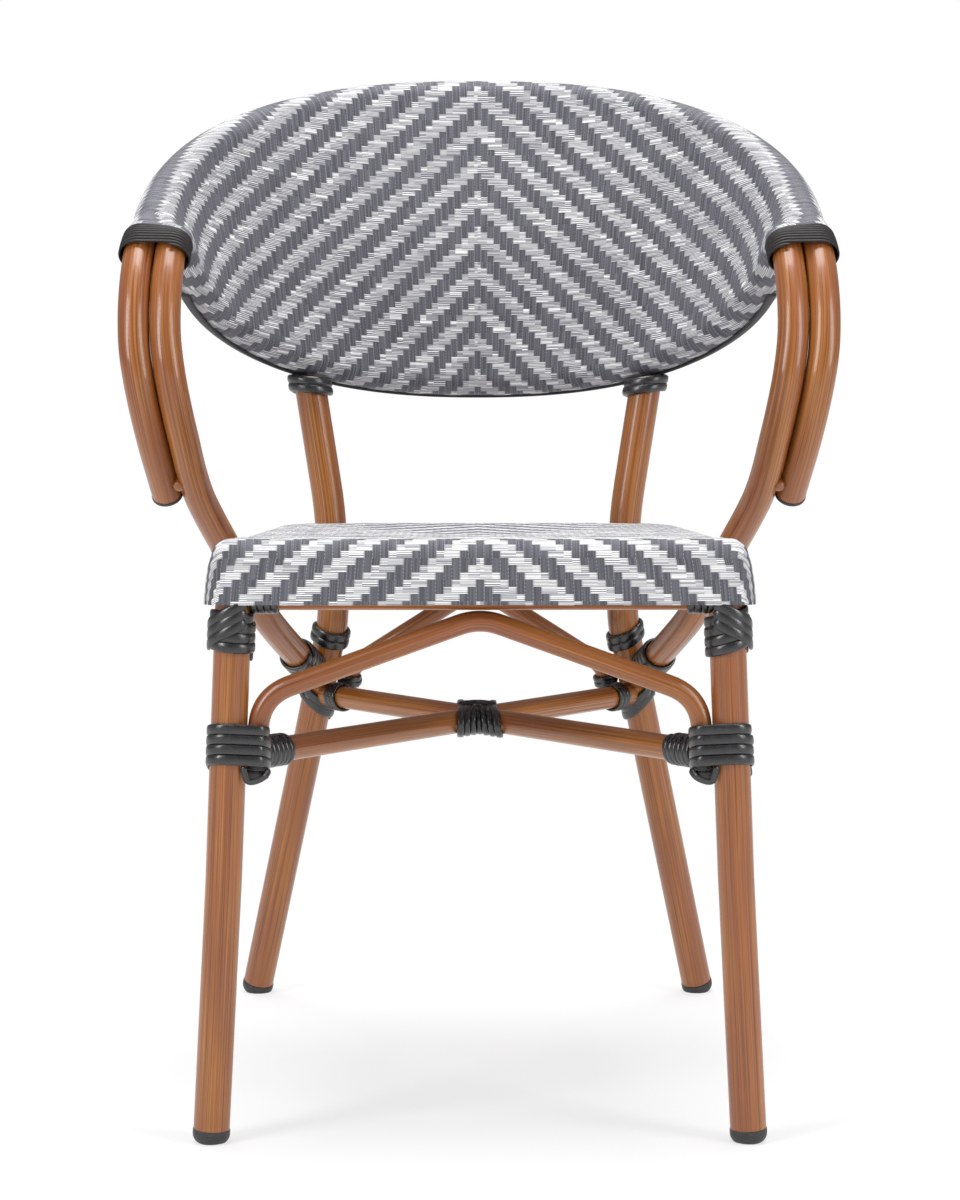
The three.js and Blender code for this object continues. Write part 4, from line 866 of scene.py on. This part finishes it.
def sling_layer(points, out, middle, drop):
    """The seat's rings at a depth inside the cloth, from the middle out and down, and their flat places."""
    edge = points - out * RIM_SET
    radius, wrap = RIM_SET - drop, math.radians(105)
    rings, flat = [], []
    for share in np.linspace(0, 1, SEAT_RINGS + 1)[1:] ** 0.92:
        spot = middle + (edge - middle) * share
        rings.append(raised(spot, seat_top(spot[:, 1]) - drop - SEAT_SAG * (1 - share ** 2) ** 2))
        flat.append(spot)
    centre_z = seat_top(edge[:, 1]) - RIM_SET
    for angle in np.radians(np.linspace(90, 0, 14)[1:]):
        rings.append(raised(edge + out * radius * math.cos(angle), centre_z + radius * math.sin(angle)))
        flat.append(edge + out * RIM_SET * (math.pi / 2 - angle))
    skirt = 1 - np.clip((points[:, 1] - SKIRT_LEG_DEPTH) / (SEAT_FLARE_DEPTH - SKIRT_LEG_DEPTH), 0, 1)
    skirt = (skirt ** 2 * (3 - 2 * skirt))[:, None]
    drop_to_hem = SEAT_HEIGHT - SKIRT_HEIGHT - centre_z
    for fall in np.linspace(0, 1, 34)[1:]:
        angle = -wrap * fall
        wrapped = raised(edge + out * radius * math.cos(angle), centre_z + radius * math.sin(angle))
        spread = 1 + SKIRT_SPREAD / SEAT_FRONT_HALF * fall ** SKIRT_BULGE
        hung = raised((edge + out * radius) * (spread, 1), centre_z + drop_to_hem * fall)
        rings.append(wrapped * (1 - skirt) + hung * skirt)
        past = RIM_SET * wrap * fall * (1 - skirt) - drop_to_hem[:, None] * fall * skirt
        flat.append(edge + out * (RIM_SET * math.pi / 2 + past))
    return np.array(rings), np.array(flat)


def make_sling():
    points, out = seat_outline(1.55)
    middle = np.array([0, half(SEAT_REAR_DEPTH)])
    outer, flat = sling_layer(points, out, middle, 0.0)
    inner, _ = sling_layer(points, out, middle, FABRIC)
    weave = np.stack([flat[:, :, 0], SEAT_ROW_SHIFT - flat[:, :, 1], np.zeros(flat.shape[:2])], axis=2)
    normals = grid_normals(outer)
    if normals[20, :, 2].mean() < 0:
        normals = -normals
    fade = np.ones(len(outer))
    fade[:3], fade[-2:] = 0, 0.3
    outer = outer + normals * (weave_relief(weave[:, :, 0], weave[:, :, 1]) * fade[:, None])[:, :, None]
    last = len(outer) - 1
    pick = np.unique([*range(0, SEAT_RINGS, 6), *range(SEAT_RINGS, last, 3), last])
    centre_z = seat_top(middle[1]) - SEAT_SAG
    centres = [(middle[0], FRONT_Y + middle[1], z) for z in (centre_z, centre_z - FABRIC)]
    made = cloth_piece("seat_sling", outer, inner[pick], weave, weave[pick], SEAT_WEAVE, centres)
    return made, cloth_area(outer)


seat_sling, sling_area = make_sling()


# Straps
def ribbon(centres, across, outs, size, shares, power, sides, s):
    """Rounded sections along a line. shares are those of the width and the thickness from point to point,
    and s is the length along the line."""
    angle, count = around(sides), len(centres)
    a, b = half(size[0]) * squared(np.cos(angle), power), half(size[1]) * squared(np.sin(angle), power)
    wide, thick = (np.multiply.outer(share, edge)[:, :, None] for share, edge in zip(shares, (a, b)))
    points = centres[:, None, :] + wide * across[:, None, :] + thick * outs[:, None, :]
    grain = np.stack([np.tile(a, count), np.tile(b, count), np.repeat(s, sides)], axis=1)
    ends = [list(range(sides))[::-1], list(range((count - 1) * sides, count * sides))]
    return points.reshape(-1, 3), grid_faces(count, sides) + ends, grain


def strap_piece(name, runs, size, material=STRAPS):
    """One mesh of runs of strap: a line, the outward direction at each of its points and, if it has one, its
    own width and thickness."""
    points, faces, grain, start = [], [], [], 0
    for centres, outs, *own in runs:
        centres, heading = np.asarray(centres, float), tangents(centres)
        across = unit(np.cross(heading, unit(outs)))
        taper = np.ones(len(centres))
        taper[[0, -1]], taper[[1, -2]] = 0.5, 0.86
        p, f, g = ribbon(centres, across, np.cross(across, heading), own or size, (taper, taper), 0.8, 14,
                         lengths(centres))
        points.append(p)
        grain.append(g + (0, 13 * len(name), 0))
        faces += [[i + start for i in face] for face in f]
        start += len(p)
    piece(f"{name}_strap", np.vstack(points), faces, material, [name], grain=np.vstack(grain), sharp=60)


def straight(origin, axis):
    return lambda shift: (origin + axis * shift, axis)


def on_leg(leg, height):
    return lambda shift: at_height(leg, height + shift)


def up_from_end(path, start):
    """Up a line from its last point, from a distance along it."""
    def spot(shift):
        here = lengths(path)[-1] - start - shift
        point, behind = measured(path, [here, here - 1])
        return point, unit(behind - point)
    return spot


def stepped(turn, front):
    """Turns counted so that a strap goes square round its front and steps along the tube behind it."""
    whole, part = divmod(turn - front + 0.5, 1.0)
    ease = [min(1.0, part / 0.25), max(0.0, (part - 0.75) / 0.25)]
    return whole + sum(0.5 * e * e * (3 - 2 * e) for e in ease) + front - 0.5


def wound(along, across, radius, turns, thickness, pitch, lean=None, spread=0.0, narrow=None, towards=None,
          splay=0.0, wobble=0.15, front=None):
    """The line of a strap wound round one tube, or round two side by side, of which the second may be thinner.
    Its ends dip to the tube."""
    steps = turns * TURN_STEPS
    centres, outs = [], []
    for i in range(steps + 1):
        turn = i / TURN_STEPS
        angle = 2 * math.pi * turn
        passed = turn if front is None else stepped(turn, front)
        shift = (passed - half(turns)) * pitch + pitch / 4
        point, axis = along(shift)
        side_way = square_to(across, axis)
        beyond = np.cross(axis, side_way)
        spoke = side_way * math.cos(angle) + beyond * math.sin(angle)
        offset = wobble * math.sin(2.3 * angle + 1.7 * turns)
        if towards is not None:
            facing = max(0.0, float(np.dot(spoke, towards))) ** 2
            offset += (math.copysign(splay, shift) - 0.75 * shift) * facing
        if lean is not None:
            offset += float(np.dot(spoke, lean))
        dip = max(0.0, 1 - min(i, steps - i) / 8) ** 2
        stand = FIT_GAP + half(thickness) * (1 - 1.1 * dip) + 0.1 * math.sin(1.37 * angle)
        reach = radius + stand
        if narrow is not None and math.cos(angle) * narrow[0] > 0:
            reach = narrow[1] + stand
        sideways = reach * math.cos(angle) + half(spread) * max(-1.0, min(1.0, 7 * math.cos(angle)))
        centres.append(point + side_way * sideways + beyond * (radius + stand) * math.sin(angle) + axis * offset)
        outs.append(unit(side_way * math.cos(angle) / reach + beyond * math.sin(angle) / (radius + stand)))
    return np.array(centres), np.array(outs)


def lash(name, along, across, radius, turns, kind, pitch=None, more=(), **shape):
    """A winding as a piece of its own, with more runs of strap over it."""
    winding = wound(along, across, radius, turns, kind["thickness"], pitch or kind["pitch"], **shape)
    strap_piece(name, [winding, *more], (kind["width"], kind["thickness"]))


def on_round(leg, radius, spots):
    """A run on the surface of a leg through (turn in degrees, height) spots. Turn 0 faces +X and -90 the front."""
    centres, outs = [], []
    for turn, height, _ in smooth_line(np.column_stack([spots, np.zeros(len(spots))]), 12):
        point, axis = at_height(leg, height)
        side_way = square_to(RIGHT, axis)
        a = math.radians(turn)
        out = side_way * math.cos(a) + np.cross(axis, side_way) * math.sin(a)
        centres.append(point + out * radius)
        outs.append(out)
    return np.array(centres), np.array(outs)


# The crossed straps of a front leg: where each starts and stops in height. The front ring's tail: places from
# the crease between leg and brace, outwards, back and up
CROSSED = ((379, 396), (371.5, 389), (386, 403))
RING_TAIL = ((0.2, -10.9, -9), (-1.2, -10.6, -15), (-3.2, -10.3, -20), (-8, -10.1, -20.2), (-15, -8.8, -17),
             (-18.5, -4, -12))

for name, side in SIDES:
    front, rear = front_leg[name], rear_leg[name]
    start, stop = -90 + side * 78, -90 - side * 38
    crossed = [on_round(front, half(LEG_D) + 3.4, [(start + side * 20, low - 2), (start, low),
                                                   (half(start + stop), half(low + high)), (stop, high)])
               for low, high in CROSSED]
    lash(f"front_leg_lashing_{name}", on_leg(front, FRONT_LASHING_HEIGHT), RIGHT, half(LEG_D), 4, STRAP,
         LASHING_PITCH, crossed, lean=side * 2.4 * RIGHT)

    inset = half(LEG_D + 4 * THIN["pitch"] + THIN["width"]) - 5.4
    rail_spot = end_of(cross_rail, side)[0] - side * inset * RIGHT
    lash(f"rail_lashing_{name}", straight(rail_spot, RIGHT), BACK, half(RAIL_D), 4, THIN)

    spot, direction = at_height(front, FRONT_RING_HEIGHT)
    pair_middle = spot - side * half(RING_REACH) * RIGHT
    tail = smooth_line([pair_middle - side * RIGHT + (side * x, y, z) for x, y, z in RING_TAIL], 8)
    tail_run = (tail, [(side * 0.2, -1, -0.6)] * len(tail), 5.2, 2.2)
    lash(f"front_ring_lashing_{name}", straight(pair_middle, direction), RIGHT, half(LEG_D) - 0.6, 4, STRAP,
         more=[tail_run], lean=-3.8 * BACK, spread=RING_REACH, narrow=(-side, half(BRACE_D) - 1.4),
         towards=BACK, splay=12, wobble=0.1, front=0.75)

    line = long_line if side < 0 else split_line
    towards = unit(line[1] - line[0])
    wrap = line[0] + towards * (FRONT_WRAP_START + half(6 * THIN["pitch"]))
    lash(f"front_stretcher_lashing_{name}", straight(wrap, towards), UP, half(STRETCHER_D), 6, THIN)

    lash(f"rear_ring_lashing_{name}", on_leg(rear, REAR_RING_HEIGHT), BACK, half(LEG_D), 2, STRAP, RING_PITCH,
         lean=side * 2.5 * RIGHT)
    lash(f"rear_low_lashing_{name}", on_leg(rear, LOW_RING_HEIGHT), RIGHT, half(LEG_D), 2, STRAP, RING_PITCH,
         lean=side * 9 * RIGHT)
    lash(f"arm_end_lashing_{name}", up_from_end(tail_line[name], TAIL_WRAP_START + half(5 * ARM_END_PITCH)),
         RIGHT, half(ARM_D), 5, STRAP, ARM_END_PITCH)

    line = split_line if side < 0 else long_line
    forward = unit(line[0] - line[1])
    wrap = line[1] + forward * (REAR_WRAP_START + half(3 * THIN["pitch"]))
    lash(f"rear_stretcher_lashing_{name}", straight(wrap, forward), UP, half(STRETCHER_D), 3, THIN)

    arch_end, down = end_of(rear_arch, side)
    lash(f"rear_arch_lashing_{name}", straight(arch_end - down * (THIN["pitch"] + FIT_GAP), -down), RIGHT,
         half(BRACE_D), 2, THIN)
    lash(f"back_ferrule_{name}", on_leg(rear, FERRULE_HEIGHT), BACK, half(LEG_D) - 0.4, 2, FERRULE,
         lean=side * 4.6 * RIGHT, front=0.5)


def arm_band(name, side):
    """One narrow strap wound evenly round both arm tubes, square to them, over the end of the sleeve."""
    turns, width, thickness = 8, 2.75, 1.7
    steps = turns * BAND_STEPS
    counts = side * (half(HOOP_SEGMENTS) + np.linspace(BAND_FROM, BAND_TO, steps + 1))
    (upper, heading), (lower, _) = both_hoops(counts)
    apart = upper - lower
    apart = apart - heading * np.sum(apart * heading, axis=1, keepdims=True)
    span = np.linalg.norm(apart, axis=1)
    beside = unit(apart)
    beyond = np.cross(heading, beside)
    radius = half(ARM_D) + SLEEVE_GAP + FABRIC + half(thickness) + 0.2
    arc = math.pi * radius
    way = (np.arange(steps + 1) / BAND_STEPS + 0.5) % 1.0 * 2 * (arc + span)
    centres, outs = [], []
    for i in range(steps + 1):
        legs = [0, arc, arc + span[i], 2 * arc + span[i], 2 * (arc + span[i])]
        angle = math.radians(np.interp(way[i], legs, [-90, 90, 90, 270, 270]))
        share = np.interp(way[i], legs, [0, 0, 1, 1, 0])
        out = beside[i] * math.cos(angle) + beyond[i] * math.sin(angle)
        centres.append(upper[i] - beside[i] * span[i] * share + out * radius)
        outs.append(out)
    strap_piece(f"arm_band_{name}", [(centres, outs)], (width, thickness), BANDS)


for name, side in SIDES:
    arm_band(name, side)


def centre_lashing():
    """Upright strands over the crossing of the stretchers, which fan out downwards, and a strap over them."""
    middle, heading = long_line[2], long_line[1] - long_line[0]
    slope = abs(heading[1] / heading[0])
    turns, width, thickness = 7, 5.4, 2.7
    steps = turns * TURN_STEPS
    reach = half(STRETCHER_D) + FIT_GAP + half(thickness)
    centres, outs = [], []
    for i in range(steps + 1):
        angle = 2 * math.pi * i / TURN_STEPS
        x = (i / steps - 0.5) * turns * CENTRE_PITCH * (1 - 0.09 * math.sin(angle))
        apart = slope * (abs(x) + half(width)) * max(-1.0, min(1.0, 6 * math.cos(angle)))
        out = np.array([0, math.cos(angle), math.sin(angle)])
        centres.append(middle + np.array([x, apart + reach * math.hypot(1, slope) * out[1], reach * out[2]]))
        outs.append(out)
    over = np.linspace(0, 1, 25)[:, None]
    start, stop = middle + np.array([-17, -7.5, 12.6]), middle + np.array([14, -6.5, 12.6])
    band = start * (1 - over) + stop * over + np.sin(np.pi * over) * 1.6 * UP
    strap_piece("centre_lashing", [(centres, outs), (band, [(0, -0.5, 1)] * len(band), 5.4, 2.2)], (width, thickness))


centre_lashing()


def edge_trim():
    """The black edging under the sleeve's lower edge."""
    end = half(HOOP_SEGMENTS) - 3
    counts = np.linspace(-end, end, 260)
    _, (point, away, outward) = pair_axes(counts)
    turn = math.pi * 0.14
    spoke = away * math.cos(turn) - outward * math.sin(turn)
    across = away * math.sin(turn) + outward * math.cos(turn)
    stand = half(ARM_D) + SLEEVE_GAP + FABRIC + 1.5
    broad = 0.55 + 0.45 * np.minimum(1, np.abs(counts) / end * 1.5)
    points, faces, grain = ribbon(point + spoke * stand, across, spoke, (7.2, 3.0), (broad, np.ones(len(point))),
                                  0.7, 16, lengths(point))
    piece("back_edge_trim_shape", points, faces, EDGING, ["back_edge_trim"], grain=grain, sharp=60)


edge_trim()


# Floor, background and lights
WHITE = (1, 1, 1, 1)


def make_floor():
    """A disc that shades into white away from the chair."""
    g = Graph("floor")
    far = g.node("VectorMath", g.node("TexCoord", output="Object"), operation="LENGTH", output="Value")
    seen = 0.0
    for ray in ("Is Camera Ray", "Is Glossy Ray", "Is Transmission Ray"):
        seen = g.math("MAXIMUM", g.node("LightPath", output=ray), seen)
    share = g.times(seen, g.spread(far, 0.45, 1.15, 0.62, 1.0))
    blend = g.node("MixShader", share, g.shader.outputs[0], g.node("Emission", WHITE))
    g.put(g.nodes["Material Output"].inputs["Surface"], blend)
    g.set(Base_Color=(0.93, 0.93, 0.93, 1), Roughness=0.9, Specular_IOR_Level=0.1)
    mesh = bpy.data.meshes.new("floor")
    mesh.from_pydata([(8 * math.cos(a), 8 * math.sin(a), 0) for a in around(96)], [], [list(range(96))])
    mesh.materials.append(g.material)
    floor = new_object("floor", mesh)


def make_world():
    """A dim white surround, seen as plain white by the camera."""
    world = bpy.data.worlds.new("world")
    world.use_nodes = True
    bpy.context.scene.world = world
    nodes, links = world.node_tree.nodes, world.node_tree.links
    mix = nodes.new("ShaderNodeMixShader")
    links.new(nodes.new("ShaderNodeLightPath").outputs["Is Camera Ray"], mix.inputs[0])
    for index, background, strength in ((1, nodes["Background"], 0.34), (2, nodes.new("ShaderNodeBackground"), 1.0)):
        background.inputs["Color"].default_value = WHITE
        background.inputs["Strength"].default_value = strength
        links.new(background.outputs[0], mix.inputs[index])
    links.new(mix.outputs[0], nodes["World Output"].inputs["Surface"])


def soft_box(name, place, target, size, power):
    data = bpy.data.lights.new(name, "AREA")
    data.shape, data.size, data.size_y, data.energy = "RECTANGLE", size[0], size[1], power
    light = new_object(name, data)
    light.location = place
    light.rotation_euler = (Vector(target) - Vector(place)).to_track_quat("-Z", "Y").to_euler()


make_floor()
make_world()
soft_box("light_left", (-1.9, -1.7, 1.7), (0, 0, 0.45), (0.8, 2.0), 45)
soft_box("light_right", (2.0, -1.4, 1.4), (0, 0, 0.45), (0.8, 2.0), 33)
soft_box("light_top", (0.0, 0.2, 2.6), (0, 0, 0.4), (1.6, 1.6), 62)
bpy.context.scene.view_settings.view_transform = "Standard"
